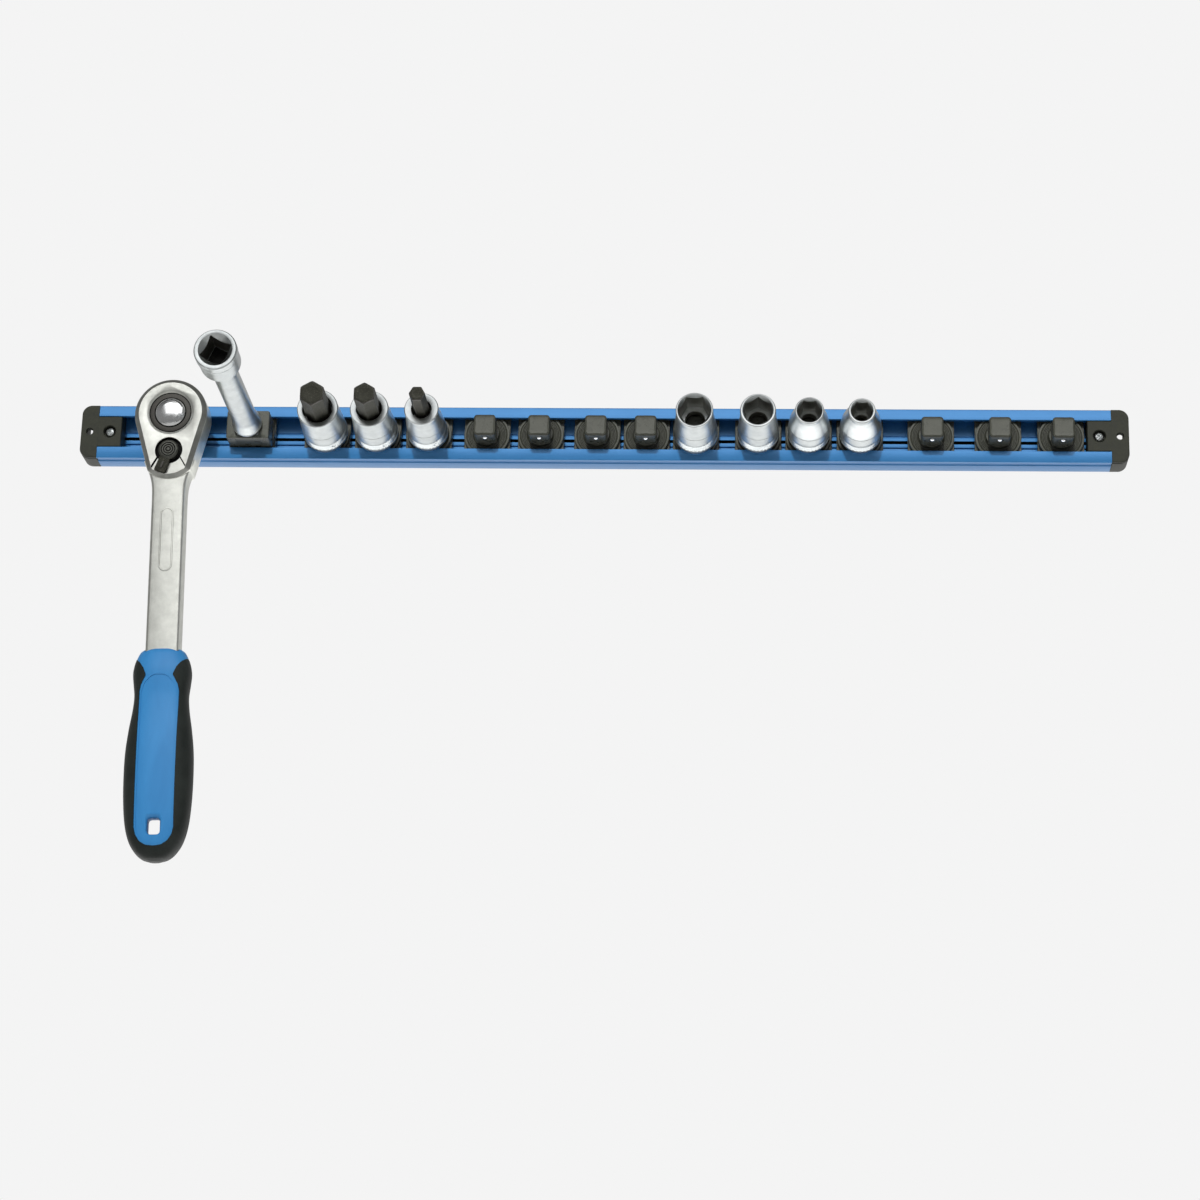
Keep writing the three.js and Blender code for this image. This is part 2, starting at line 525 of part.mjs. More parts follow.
const ratchetPieces = [
  ["ratchet_body", ratchetBody(), SATIN_CHROME()],
  ["ratchet_cover", coverPlate(), GREY_STEEL()],
  ["cover_screw_left", coverScrew(-1), BLACK_STEEL()],
  ["cover_screw_right", coverScrew(1), BLACK_STEEL()],
  ["drive_gear", driveGear(), GREY_STEEL()],
  ["release_button", releaseButton(), BRIGHT_CHROME()],
  ["drive_ball", sphere(2).translate([0, -K(-8), -SQUARE / 2 + 2 - 0.15]), BRIGHT_CHROME()],
  ["reversing_lever", leverAndArm(), BLACK_STEEL()],
  ["pawl", pawl(), BLACK_STEEL()],
  ["handle_core", handleCore(), BLUE_PLASTIC()],
  ["handle_grip", handleGrip(), BLACK_RUBBER()],
];
for (const [name, shape, material] of ratchetPieces) {
  node(name, shape.rotate([0, -LEAN, 0]).translate([CLIP_X[0], 0, 0]), material);
}

export default group;
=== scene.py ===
"""Looks of a wall rail with half-inch-drive tools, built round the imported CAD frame.

Each piece is modelled in millimetres about its own axis, with h the height above the wall, and is
then placed in metres by the box of the CAD node it stands for. World axes: X runs along the rail,
+Y into the wall, +Z up, so h is -Y.
"""

import json
import math

import bmesh
import bpy
from mathutils import Matrix, Vector


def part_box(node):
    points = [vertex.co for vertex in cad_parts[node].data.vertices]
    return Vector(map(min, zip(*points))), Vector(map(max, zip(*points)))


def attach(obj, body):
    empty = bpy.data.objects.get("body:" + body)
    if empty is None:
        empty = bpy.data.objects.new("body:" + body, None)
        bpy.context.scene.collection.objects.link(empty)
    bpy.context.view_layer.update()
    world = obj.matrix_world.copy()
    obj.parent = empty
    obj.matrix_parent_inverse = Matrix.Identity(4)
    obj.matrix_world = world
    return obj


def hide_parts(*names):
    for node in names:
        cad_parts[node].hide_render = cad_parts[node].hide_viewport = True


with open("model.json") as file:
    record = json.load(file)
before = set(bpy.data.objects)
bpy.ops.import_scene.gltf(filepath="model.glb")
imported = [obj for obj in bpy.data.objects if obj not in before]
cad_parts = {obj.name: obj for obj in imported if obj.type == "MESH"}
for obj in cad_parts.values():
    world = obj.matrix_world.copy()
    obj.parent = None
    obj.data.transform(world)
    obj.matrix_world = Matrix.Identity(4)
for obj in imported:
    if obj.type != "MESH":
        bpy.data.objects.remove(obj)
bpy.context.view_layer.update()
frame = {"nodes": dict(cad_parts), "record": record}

MM = 0.001
TAU = 2 * math.pi
SCENE = bpy.context.scene
NODE_BODY = {
    node: body
    for body, nodes in frame["record"]["behaviour"]["bodies"].items()
    for node in nodes
}


# ---- materials ----
def set_inputs(node, **numbers):
    for key, number in numbers.items():
        node.inputs[key.replace("_", " ")].default_value = number


class Material:
    """A procedural Principled material; its textures are laid out in the piece's own millimetres."""

    def __init__(self, name, **values):
        self.material = bpy.data.materials.new(name)
        self.material.use_nodes = True
        self.tree = self.material.node_tree
        self.shader = self.tree.nodes["Principled BSDF"]
        self.coords = self.tree.nodes.new("ShaderNodeTexCoord").outputs["Object"]
        set_inputs(self.shader, **values)

    def link(self, source, target):
        self.tree.links.new(source, target)

    def mapped(self, per_mm):
        """Object coordinates scaled so that a noise of scale 1 has a grain of 1/per_mm millimetres."""
        node = self.tree.nodes.new("ShaderNodeMapping")
        node.inputs["Scale"].default_value = [s / MM for s in per_mm]
        self.link(self.coords, node.inputs["Vector"])
        return node.outputs["Vector"]

    def noise(self, per_mm, detail=3.0, rough=0.55, distortion=0.0):
        node = self.tree.nodes.new("ShaderNodeTexNoise")
        set_inputs(node, Scale=1.0, Detail=detail, Roughness=rough, Distortion=distortion)
        self.link(self.mapped(per_mm), node.inputs["Vector"])
        return node.outputs["Fac"]

    def ramp(self, fac, stops):
        node = self.tree.nodes.new("ShaderNodeValToRGB")
        while len(node.color_ramp.elements) < len(stops):
            node.color_ramp.elements.new(0.5)
        for element, (position, colour) in zip(node.color_ramp.elements, stops):
            element.position = position
            element.color = (*colour, 1.0)
        self.link(fac, node.inputs["Fac"])
        return node.outputs["Color"]

    def span(self, fac, low, high, start=0.3, end=0.7):
        node = self.tree.nodes.new("ShaderNodeMapRange")
        set_inputs(node, From_Min=start, From_Max=end, To_Min=low, To_Max=high)
        self.link(fac, node.inputs["Value"])
        return node.outputs["Result"]

    def add(self, first, second, weight=1.0):
        node = self.tree.nodes.new("ShaderNodeMath")
        node.operation = "MULTIPLY_ADD"
        node.inputs[1].default_value = weight
        self.link(second, node.inputs[0])
        self.link(first, node.inputs[2])
        return node.outputs["Value"]

    def bump(self, height, strength, depth_mm):
        node = self.tree.nodes.new("ShaderNodeBump")
        set_inputs(node, Strength=strength, Distance=depth_mm * MM)
        self.link(height, node.inputs["Height"])
        self.link(node.outputs["Normal"], self.shader.inputs["Normal"])

    def colour(self, fac, stops):
        self.link(self.ramp(fac, stops), self.shader.inputs["Base Color"])

    def roughness(self, fac, low, high):
        self.link(self.span(fac, low, high), self.shader.inputs["Roughness"])


def blue_aluminium(name):
    m = Material(name, Metallic=0.3, Specular_IOR_Level=0.9)
    streaks = m.noise((0.012, 6.0, 6.0), detail=4)
    cloud = m.noise((0.05, 0.12, 0.12), detail=2)
    m.colour(m.add(streaks, cloud, 0.5), [(0.45, (0.03, 0.2, 0.5)), (1.0, (0.045, 0.245, 0.58))])
    grain = m.noise((5.0, 9.0, 9.0), detail=2)
    m.roughness(grain, 0.28, 0.36)
    m.bump(m.add(streaks, grain, 0.8), 0.25, 0.012)
    return m.material


def moulded_plastic(name, dark, light, low, high, depth):
    m = Material(name, Specular_IOR_Level=0.45)
    grain = m.noise((3.2, 3.2, 3.2), detail=3, rough=0.6)
    cloud = m.noise((0.25, 0.25, 0.25), detail=2)
    m.colour(m.add(grain, cloud, 0.6), [(0.6, dark), (1.0, light)])
    m.roughness(cloud, low, high)
    m.bump(grain, 0.6, depth)
    return m.material


def zinc(name):
    m = Material(name, Metallic=1.0)
    cloud = m.noise((0.9, 0.9, 0.9), detail=3)
    m.colour(cloud, [(0.35, (0.62, 0.66, 0.68)), (0.65, (0.82, 0.85, 0.84))])
    m.roughness(cloud, 0.22, 0.36)
    m.bump(m.noise((6, 6, 6)), 0.3, 0.01)
    return m.material


def polished(name, tint):
    m = Material(name, Metallic=1.0)
    haze = m.noise((0.4, 0.4, 0.4), detail=3)
    m.colour(haze, [(0.3, [0.93 * c for c in tint]), (0.7, tint)])
    m.roughness(haze, 0.13, 0.2)
    return m.material


def satin(name, dark, light, low, high, grain_mm, depth):
    m = Material(name, Metallic=1.0)
    cloud = m.noise((0.22, 0.22, 0.22), detail=4)
    m.colour(cloud, [(0.3, dark), (0.7, light)])
    m.roughness(m.noise((0.6, 0.6, 0.6), detail=3), low, high)
    fine = m.noise([1 / grain_mm] * 3, detail=3, rough=0.6)
    m.bump(fine, 0.5, depth)
    return m.material


def blackened(name, dark, light, speck, low, high):
    m = Material(name, Metallic=0.75)
    cloud = m.noise((0.5, 0.5, 0.5), detail=3)
    pits = m.noise((2.6, 2.6, 2.6), detail=4, rough=0.7)
    m.colour(m.add(pits, cloud, 0.25), [(0.45, dark), (0.72, light), (0.86, speck)])
    m.roughness(cloud, low, high)
    m.bump(pits, 0.6, 0.05)
    return m.material


def blue_plastic(name):
    m = Material(name, Specular_IOR_Level=0.5, Coat_Weight=0.12, Coat_Roughness=0.35)
    flow = m.noise((0.12, 0.12, 0.03), detail=3, distortion=0.4)
    grain = m.noise((2.2, 2.2, 2.2), detail=3)
    m.colour(m.add(flow, grain, 0.25), [(0.4, (0.03, 0.205, 0.5)), (0.95, (0.04, 0.25, 0.58))])
    m.roughness(grain, 0.36, 0.48)
    m.bump(grain, 0.35, 0.02)
    return m.material


def elastomer(name):
    m = Material(name, Specular_IOR_Level=0.3)
    grain = m.noise((2.6, 2.6, 2.6), detail=4, rough=0.65)
    cloud = m.noise((0.1, 0.1, 0.1), detail=3)
    m.colour(m.add(grain, cloud, 0.7), [(0.6, (0.009, 0.012, 0.011)), (1.1, (0.02, 0.025, 0.023))])
    m.roughness(cloud, 0.46, 0.58)
    m.bump(grain, 0.7, 0.05)
    return m.material


# name, maker and the numbers it takes
LOOKS = [
    ("blue_aluminium", blue_aluminium),
    # The next row is the end caps' own black plastic; on the clips the same material is painted shade and a
    # painted dark edge reflection.
    ("black_plastic", moulded_plastic, (0.02, 0.022, 0.016), (0.042, 0.044, 0.032), 0.5, 0.62, 0.05),
    ("clip_plastic", moulded_plastic, (0.066, 0.07, 0.058), (0.1, 0.104, 0.088), 0.25, 0.33, 0.03),
    ("zinc_screw", zinc),
    ("ball_steel", polished, (0.85, 0.86, 0.87)),
    ("bright_chrome", polished, (0.86, 0.87, 0.88)),
    ("satin_chrome", satin, (0.53, 0.56, 0.565), (0.64, 0.67, 0.675), 0.3, 0.35, 0.35, 0.02),
    ("shadow_gap", blackened, (0.006, 0.006, 0.006), (0.012, 0.012, 0.011), (0.03, 0.03, 0.028), 0.5, 0.62),
    # The next row is a darker, rougher copy of the satin chrome: painted shade on the inside walls of
    # bores.
    ("bore", satin, (0.42, 0.42, 0.39), (0.54, 0.54, 0.5), 0.34, 0.44, 0.4, 0.015),
    ("satin_forging", satin, (0.7, 0.71, 0.665), (0.84, 0.85, 0.8), 0.34, 0.42, 0.42, 0.05),
    # The next row is a darker copy of the satin forging: painted shade on the ratchet head's bevel band.
    ("forged_bevel", satin, (0.36, 0.365, 0.34), (0.46, 0.465, 0.44), 0.42, 0.5, 0.42, 0.05),
    ("black_oxide", blackened, (0.022, 0.022, 0.017), (0.055, 0.055, 0.043), (0.3, 0.29, 0.24), 0.42, 0.55),
    ("lever_steel", blackened, (0.06, 0.062, 0.053), (0.11, 0.113, 0.1), (0.24, 0.24, 0.22), 0.3, 0.4),
    # The next row is the grey steel of the gear, cover and bit tips; on the lever's ridge it is a painted
    # glint.
    ("grey_steel", blackened, (0.07, 0.068, 0.062), (0.1, 0.096, 0.088), (0.16, 0.155, 0.14), 0.38, 0.5),
    ("blue_plastic", blue_plastic),
    ("black_elastomer", elastomer),
]
MATERIALS = {name: make(name, *looks) for name, make, *looks in LOOKS}


# ---- outlines and profiles ----
def soften(points, radius, steps=4, closed=False):
    """The polyline with each corner rounded; a point may carry its own radius as a third number."""
    count = len(points)
    result = []
    for i, point in enumerate(points):
        r = point[2] if len(point) > 2 else radius
        here = Vector(point[:2])
        a, b = Vector(points[i - 1][:2]) - here, Vector(points[(i + 1) % count][:2]) - here
        sharp = r <= 0 or (not closed and i in (0, count - 1)) or min(a.length, b.length) < 1e-9
        if sharp or (half := a.angle(b) / 2) > math.radians(88):
            result.append(tuple(here))
            continue
        reach = min(r / math.tan(half), 0.46 * a.length, 0.46 * b.length)
        start, end = here + a.normalized() * reach, here + b.normalized() * reach
        for k in range(steps + 1):
            t = k / steps
            result.append(tuple((1 - t) ** 2 * start + 2 * t * (1 - t) * here + t * t * end))
    return result


def arc(cx, cy, r, start, sweep, steps):
    """Points along an arc about (cx, cy); start and sweep in degrees."""
    turns = [math.radians(start + sweep * i / steps) for i in range(steps + 1)]
    return [(cx + r * math.cos(a), cy + r * math.sin(a)) for a in turns]


def corners(half, z0, z1):
    return [(-half, z0), (half, z0), (half, z1), (-half, z1)]


def polygon(apothem, sides, corner=0.0, turn=0.0):
    """Radius of a rounded regular polygon by angle; turn, in degrees, points one side's normal."""
    step = TAU / sides
    centre = (apothem - corner) / math.cos(step / 2)
    flat = apothem * math.tan(step / 2) - corner * math.tan(step / 2)

    def radius(angle):
        a = abs((angle - math.radians(turn) + step / 2) % step - step / 2)
        if apothem * math.tan(a) <= flat:
            return apothem / math.cos(a)
        b = step / 2 - a
        return centre * math.cos(b) + math.sqrt(max(corner**2 - (centre * math.sin(b)) ** 2, 0))

    return radius


def rectangle(half_x, half_z, corner):
    """Radius of a rounded rectangle by angle."""

    def radius(angle):
        c, s = abs(math.cos(angle)), abs(math.sin(angle))
        r = min(half_x / max(c, 1e-9), half_z / max(s, 1e-9))
        x, z = r * c, r * s
        cx, cz = half_x - corner, half_z - corner
        if x > cx and z > cz:
            b = cx * c + cz * s
            r = b + math.sqrt(max(b * b - (cx * cx + cz * cz - corner * corner), 0))
        return r

    return radius


def scaled(radius, by):
    return lambda angle: radius(angle) + by


def catmull(stations, per_span):
    """Rows of numbers, the first being the position, with smooth rows put in between."""
    rows = []
    for i in range(len(stations) - 1):
        p1, p2 = stations[i], stations[i + 1]
        p0 = stations[i - 1] if i else p1
        p3 = stations[i + 2] if i + 2 < len(stations) else p2
        for k in range(per_span):
            t = k / per_span
            row = [p1[0] + t * (p2[0] - p1[0])]
            for a, b, c, d in zip(p0[1:], p1[1:], p2[1:], p3[1:]):
                m1 = (c - a) / ((p2[0] - p0[0]) or 1) * (p2[0] - p1[0])
                m2 = (d - b) / ((p3[0] - p1[0]) or 1) * (p2[0] - p1[0])
                row.append(
                    (2 * t**3 - 3 * t**2 + 1) * b + (t**3 - 2 * t**2 + t) * m1
                    + (3 * t**2 - 2 * t**3) * c + (t**3 - t**2) * m2
                )
            rows.append(row)
    rows.append(list(stations[-1]))
    return rows


# ---- meshes, in millimetres ----
def raw(verts, faces):
    mesh = bpy.data.meshes.new("part")
    mesh.from_pydata(verts, [], faces)
    bm = bmesh.new()
    bm.from_mesh(mesh)
    bmesh.ops.remove_doubles(bm, verts=bm.verts, dist=2e-4)
    bmesh.ops.dissolve_degenerate(bm, edges=bm.edges, dist=1e-4)
    bmesh.ops.recalc_face_normals(bm, faces=bm.faces)
    if bm.calc_volume(signed=True) < 0:
        bmesh.ops.reverse_faces(bm, faces=bm.faces)
    bm.to_mesh(mesh)
    bm.free()
    obj = bpy.data.objects.new("part", mesh)
    SCENE.collection.objects.link(obj)
    return obj


def skin(rings):
    """A closed solid through rings of equal counts of [x, h, z] points."""
    n = len(rings[0])
    verts = [(x, -h, z) for ring in rings for x, h, z in ring]
    faces = [
        (k * n + i, k * n + (i + 1) % n, (k + 1) * n + (i + 1) % n, (k + 1) * n + i)
        for k in range(len(rings) - 1)
        for i in range(n)
    ]
    faces.append(tuple(range(n))[::-1])
    faces.append(tuple((len(rings) - 1) * n + i for i in range(n)))
    return raw(verts, faces)


def value(item, angle):
    return item(angle) if callable(item) else item


def turned(profile, columns):
    """Rings of (x, h, z) points about the Y axis; a radius or height may be a function of angle."""
    rings = []
    for r, h in profile:
        ring = []
        for i in range(columns):
            a = TAU * i / columns
            radius = value(r, a)
            ring.append((radius * math.cos(a), value(h, a), radius * math.sin(a)))
        rings.append(ring)
    return rings


def spin(profile, columns=96):
    return skin(turned(profile, columns))


def slab(points, h0, h1):
    """An outline of (x, z) points standing from h0 to h1."""
    ring = lambda h: [(x, h, z) for x, z in points]
    return skin([ring(h0), ring(h1)])


def evaluated(obj):
    """The object's mesh with its modifiers applied."""
    graph = bpy.context.evaluated_depsgraph_get()
    mesh = bpy.data.meshes.new_from_object(obj.evaluated_get(graph))
    obj.modifiers.clear()
    old, obj.data = obj.data, mesh
    bpy.data.meshes.remove(old)
    return obj


def combine(obj, others, operation):
    for other in others:
        modifier = obj.modifiers.new("combine", "BOOLEAN")
        modifier.operation = operation
        modifier.solver = "EXACT"
        modifier.object = other
        evaluated(obj)
        bpy.data.objects.remove(other)
    return obj


def cut(obj, *others):
    return combine(obj, others, "DIFFERENCE")


def join(obj, *others):
    return combine(obj, others, "UNION")


def bevel(obj, width, segments=2, angle=35):
    modifier = obj.modifiers.new("bevel", "BEVEL")
    modifier.width = width
    modifier.segments = segments
    modifier.limit_method = "ANGLE"
    modifier.angle_limit = math.radians(angle)
    modifier.use_clamp_overlap = True
    return evaluated(obj)


def shifted(obj, x=0.0, h=0.0, z=0.0, turn=0.0):
    """The object turned by degrees about the Y axis and moved, in millimetres."""
    move = Matrix.Translation((x, -h, z)) @ Matrix.Rotation(math.radians(turn), 4, "Y")
    obj.data.transform(move)
    return obj


def duplicate(obj):
    copy = bpy.data.objects.new(obj.name, obj.data.copy())
    SCENE.collection.objects.link(copy)
    return copy


def place(obj, node, slot, matrix=None, crease=32, also=()):
    """Puts a finished piece, still in millimetres, where its CAD node is, and hands it to the frame."""
    matrix = matrix or Matrix.Translation((centre(node).x, 0, 0))
    obj.data.transform(matrix @ Matrix.Scale(MM, 4))
    obj.name = f"{node}.fine"
    obj.data.name = obj.name
    mesh = obj.data
    if len(mesh.materials) < 2:
        mesh.materials.clear()
        mesh.materials.append(MATERIALS[slot])
        mesh.polygons.foreach_set("material_index", [0] * len(mesh.polygons))
    mesh.polygons.foreach_set("use_smooth", [True] * len(mesh.polygons))
    mesh.set_sharp_from_angle(angle=math.radians(crease))
    mesh.update()
    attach(obj, NODE_BODY[node])
    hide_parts(node, *also)
    return obj


def finish_part(obj, finish, *others):
    """The main finish, and (finish, chosen) pairs: chosen(radius, height, point, normal) picks faces; some
    pairs are painted shade and painted glints.
    """
    mesh = obj.data
    picked = []
    for face in mesh.polygons:
        c = face.center
        at = (math.hypot(c.x, c.z), -c.y, c, face.normal)
        picked.append(next((k + 1 for k, (_, chosen) in enumerate(others) if chosen(*at)), 0))
    mesh.materials.clear()
    for name in (finish, *(name for name, _ in others)):
        mesh.materials.append(MATERIALS[name])
    mesh.polygons.foreach_set("material_index", picked)
    return obj


def paint_bore_shade(obj, finish, low, high, radius):
    """The inside walls get the darker bore material: painted shade inside the bore."""
    return finish_part(
        obj, finish, ("bore", lambda r, h, c, n: abs(n.y) < 0.35 and low < h < high and r < radius)
    )


def keep(node, slot, width=0.25):
    """A CAD node that stays: a finish, rounded edges and creased shading."""
    obj = frame["nodes"][node]
    obj.data.materials.clear()
    obj.data.materials.append(MATERIALS[slot])
    obj.data.polygons.foreach_set("use_smooth", [True] * len(obj.data.polygons))
    obj.data.set_sharp_from_angle(angle=math.radians(32))
    modifier = obj.modifiers.new("edges", "BEVEL")
    modifier.width = width * MM
    modifier.segments = 2
    modifier.limit_method = "ANGLE"
    modifier.angle_limit = math.radians(40)


def centre(node):
    low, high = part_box(node)
    return (low + high) / 2


def heights(node):
    """Lowest and highest height above the wall of a CAD node, in millimetres."""
    low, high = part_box(node)
    return -high.y / MM, -low.y / MM


def reach(node):
    """Half the node's width along X, in millimetres."""
    low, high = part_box(node)
    return (high.x - low.x) / 2 / MM


# ---- rail and end caps ----
LENGTH = (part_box("rail")[1].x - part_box("rail")[0].x) / MM
HALF = (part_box("rail")[1].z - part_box("rail")[0].z) / 2 / MM
FACE = heights("rail")[1]
LIP_IN, UNDER_LIP, FLOOR = 9.4, FACE - 2.5, 3.0
CAP_LONG, CAP_CORNER = 10, 5.5
SCREW_X, HOLE_X = 283.3, 295


def build_rail():
    half = [
        (HALF, 0, 0.6), (HALF, 8.9, 0.2), (HALF - 0.6, 9.3, 0.2), (HALF - 0.6, 13, 0.2),
        (HALF, 13.4, 0.2), (HALF, FACE - 0.6, 0.6), (LIP_IN, FACE, 0.4), (LIP_IN, UNDER_LIP, 0.3),
        (HALF - 2, UNDER_LIP, 0.3), (HALF - 2, FLOOR, 0.4), (3.9, FLOOR, 0.15),
        (3.9, FLOOR - 0.6, 0.1), (3.1, FLOOR - 0.6, 0.1), (3.1, FLOOR + 0.5, 0.2),
        (0.9, FLOOR + 0.5, 0.2), (0.9, 1.2, 0.15),
    ]
    other = [(-p[0], *p[1:]) for p in reversed(half)]
    outline = soften(half + other, 0.2, 3, closed=True)
    side = LENGTH / 2
    ends = [(-side, 0.15), (-side + 0.15, 0), (side - 0.15, 0), (side, 0.15)]
    rail = skin([[(x, h, z) for z, h in outline] for x, _ in ends])
    holes = []
    for x in (-SCREW_X, SCREW_X):
        holes.append(shifted(spin([(1.6, -1), (1.6, 6)], 24), x))
    holes.append(shifted(spin([(0.45, 2), (0.45, 6)], 16), -274.1, 0, -3.5))
    dot = spin([(0.42, -HALF - 1), (0.42, -HALF + 0.5)], 16)
    dot.data.transform(Matrix.Translation((266.5, -3.4, 0)) @ Matrix.Rotation(math.radians(-90), 4, "X"))
    holes.append(dot)
    rail = cut(rail, *holes)
    return finish_part(
        rail, "blue_aluminium", ("shadow_gap", lambda r, h, c, n: abs(c.z) < 0.95 and 1 < h < 3.45)
    )


def cap_outline(side):
    inner, outer, corner = LENGTH / 2 + 0.1, LENGTH / 2 + CAP_LONG, CAP_CORNER
    upper = arc(outer - corner, HALF - corner, corner, 0, 90, 12)
    lower = [(x, -z) for x, z in reversed(upper)]
    points = [(inner, -HALF), *lower, *upper, (inner, HALF)]
    return [(side * x, z) for x, z in points]


def build_cap(side):
    inner = LENGTH / 2 + 0.1
    outline = cap_outline(side)
    middle = inner + 4

    def inset(d):
        points = []
        for x, z in outline:
            ax = abs(x)
            away = Vector((ax - middle, z))
            flat = abs(ax - inner) < 1e-6
            nx = 0 if flat else max(min((ax - (LENGTH / 2 + CAP_LONG - CAP_CORNER)) / CAP_CORNER, 1), 0)
            nz = max(min((abs(z) - (HALF - CAP_CORNER)) / CAP_CORNER, 1), 0) * (1 if z > 0 else -1)
            if flat:
                nz = 1 if z > 0 else -1
            normal = Vector((nx, nz))
            normal = normal.normalized() if normal.length > 0 else away.normalized()
            points.append((side * (ax - d * normal.x), z - d * normal.y))
        return points

    profile = soften(
        [(0.3, 0), (0, 0.3), (0, 13.3), (0.5, 13.5), (0.5, 14.1), (0, 14.3), (0, FACE - 0.35), (0.5, FACE)],
        0.2, 3,
    )
    body = skin([[(x, h, z) for x, z in inset(d)] for d, h in profile])

    def block(x0, x1, half_z, h0, h1, edge):
        ring = soften([(x0, -half_z), (x1, -half_z), (x1, half_z), (x0, half_z)], 0.5, 4, closed=True)
        low = [(side * x, z) for x, z in ring]
        mid = ((x0 + x1) / 2 * side, 0)
        shrink = lambda d: [
            (x + d * (1 if x < mid[0] else -1), z + d * (1 if z < 0 else -1)) for x, z in low
        ]
        rows = [(edge, h0), (0, h0 + edge), (0, h1 - edge), (edge, h1)]
        return skin([[(x, h, z) for x, z in shrink(d)] for d, h in rows])

    reach_in = LENGTH / 2 - 13.4
    channel = block(reach_in, inner + 1, HALF - 2.3, FLOOR + 0.8, UNDER_LIP - 0.3, 0.2)
    tongue = block(reach_in, inner + 1, LIP_IN - 0.3, UNDER_LIP - 1, FACE - 0.1, 0.3)
    cap = join(body, channel, tongue)
    hollow = block(inner + 2, inner + 7.8, 12.4, -1, FACE - 3.2, 0.4)
    screw_x, hole_x = SCREW_X * side, HOLE_X * side
    seat = spin([(3.6, 12.4), (3.6, FACE - 0.5), (3.95, FACE - 0.05), (3.95, 20)], 48)
    through = spin([(1.7, -1), (1.7, 20)], 32)
    fixing = spin([(1.9, 0.2), (1.9, FACE - 0.5), (2.2, FACE + 0.02), (2.2, 20)], 48)
    cap = cut(cap, hollow, shifted(seat, screw_x), shifted(through, screw_x), shifted(fixing, hole_x))
    rim = lambda c: abs(c.z) > HALF - 4.8 or abs(c.x) > LENGTH / 2 + 7.8
    return finish_part(
        cap, "black_plastic", ("shadow_gap", lambda r, h, c, n: 13.35 < h < 14.25 and rim(c))
    )


def build_cap_screw(turn):
    profile = soften(
        [
            (0.9, 0.6), (1.45, 1.2), (1.45, 12.6, 0.05), (2.85, 12.6, 0.1), (2.85, 13.4, 0.3),
            (2.1, 14.35, 0.5), (0.9, 14.75), (0.2, 14.78)
        ],
        0.2, 4,
    )
    screw = spin(profile, 48)
    for angle in (0, 90):
        slot = slab(soften(corners(1.9, -0.36, 0.36), 0.2, 3, closed=True), 13.5, 16)
        screw = cut(screw, shifted(slot, turn=angle + turn))
    return shifted(cut(screw, spin([(0.3, 13.1), (1.0, 13.8), (1.0, 16)], 24)))


place(
    build_rail(), "rail", "blue_aluminium", Matrix.Identity(4),
    also=("rail_lip_upper", "rail_lip_lower"),
)
for side, label in ((-1, "left"), (1, "right")):
    place(build_cap(side), f"end_cap_{label}", "black_plastic", Matrix.Identity(4))
    place(build_cap_screw(20 if side < 0 else 38), f"cap_screw_{label}", "zinc_screw")


# ---- clips ----
def clip_plate():
    """Rings of the sliding plate and the disc's side."""
    plate = rectangle(13.2, 13.4, 1.0)
    rows = [(scaled(plate, -0.3), 6), (plate, 6.3), (plate, 9.2), (scaled(plate, -0.3), 9.5)]
    return rows + [(13.1, 9.5), (13.1, 12.25), (13.0, 12.45), (12.75, 12.6)]


def clip_foot():
    """Rings of the plate and of the grooved top of its disc, up to the boss."""
    rows = clip_plate() + [(11.95, 12.6), (11.75, 12.3), (11.45, 12.3), (11.25, 12.55)]
    r = 11.0
    while r > 7.9:
        rows += [(r, 12.45), (r - 0.18, 12.85), (r - 0.42, 12.85), (r - 0.6, 12.45)]
        r -= 0.78
    return rows


def build_post_clip():
    columns = 144
    half, high = 6.2, 29.0
    post = polygon(half, 4, 1.9)
    rows = clip_foot() + [(7.5, 12.6), (7.25, 12.8), (7.2, 14.9), (7.0, 15.25)]
    rows += [(post, 15.3), (post, high - 1.0)]
    for k in range(1, 5):
        a = math.pi / 2 * k / 4
        rows.append((scaled(post, -0.8 * (1 - math.cos(a))), high - 1.0 + 0.75 * math.sin(a)))
    rows += [
        (scaled(post, -1.15), high - 0.1), (scaled(post, -1.5), high - 0.16),
        (scaled(post, -3.2), high - 0.2)
    ]
    clip = spin(rows, columns)
    pocket = round_cutter(1.78, -half - 1, -half + 2.2, 23.3)
    # The boss wall, the rounded band at the post's top edge and the slopes and floors of the disc's grooves
    # get the darker black plastic: painted shade, and on the top edge a painted dark reflection.
    return finish_part(
        cut(clip, pocket), "clip_plastic",
        ("black_plastic", lambda r, h, c, n: 12.65 < h < 15.25 and 6.9 < r < 7.6),
        ("black_plastic", lambda r, h, c, n: h > high - 1.0 and 0.1 < abs(n.y) < 0.93),
        ("black_plastic", lambda r, h, c, n: 12.4 < h < 12.83 and 7.7 < r < 11.1),
        ("black_plastic", lambda r, h, c, n: 12.25 < h < 12.5 and 11.2 < r < 12.0),
    )


def round_cutter(r, z0, z1, h, x=0.0, columns=32, chamfer=0.25):
    """A round cutter along Z, a little wider where it leaves the surface at its z0 end."""
    rows = [(r + chamfer, z0), (r + chamfer, z0 + 1.0 - 0.02), (r, z0 + 1.0 + chamfer), (r, z1)]
    obj = spin(rows, columns)
    turn = Matrix.Translation((x, -h, 0)) @ Matrix.Rotation(math.radians(-90), 4, "X")
    obj.data.transform(turn)
    return obj


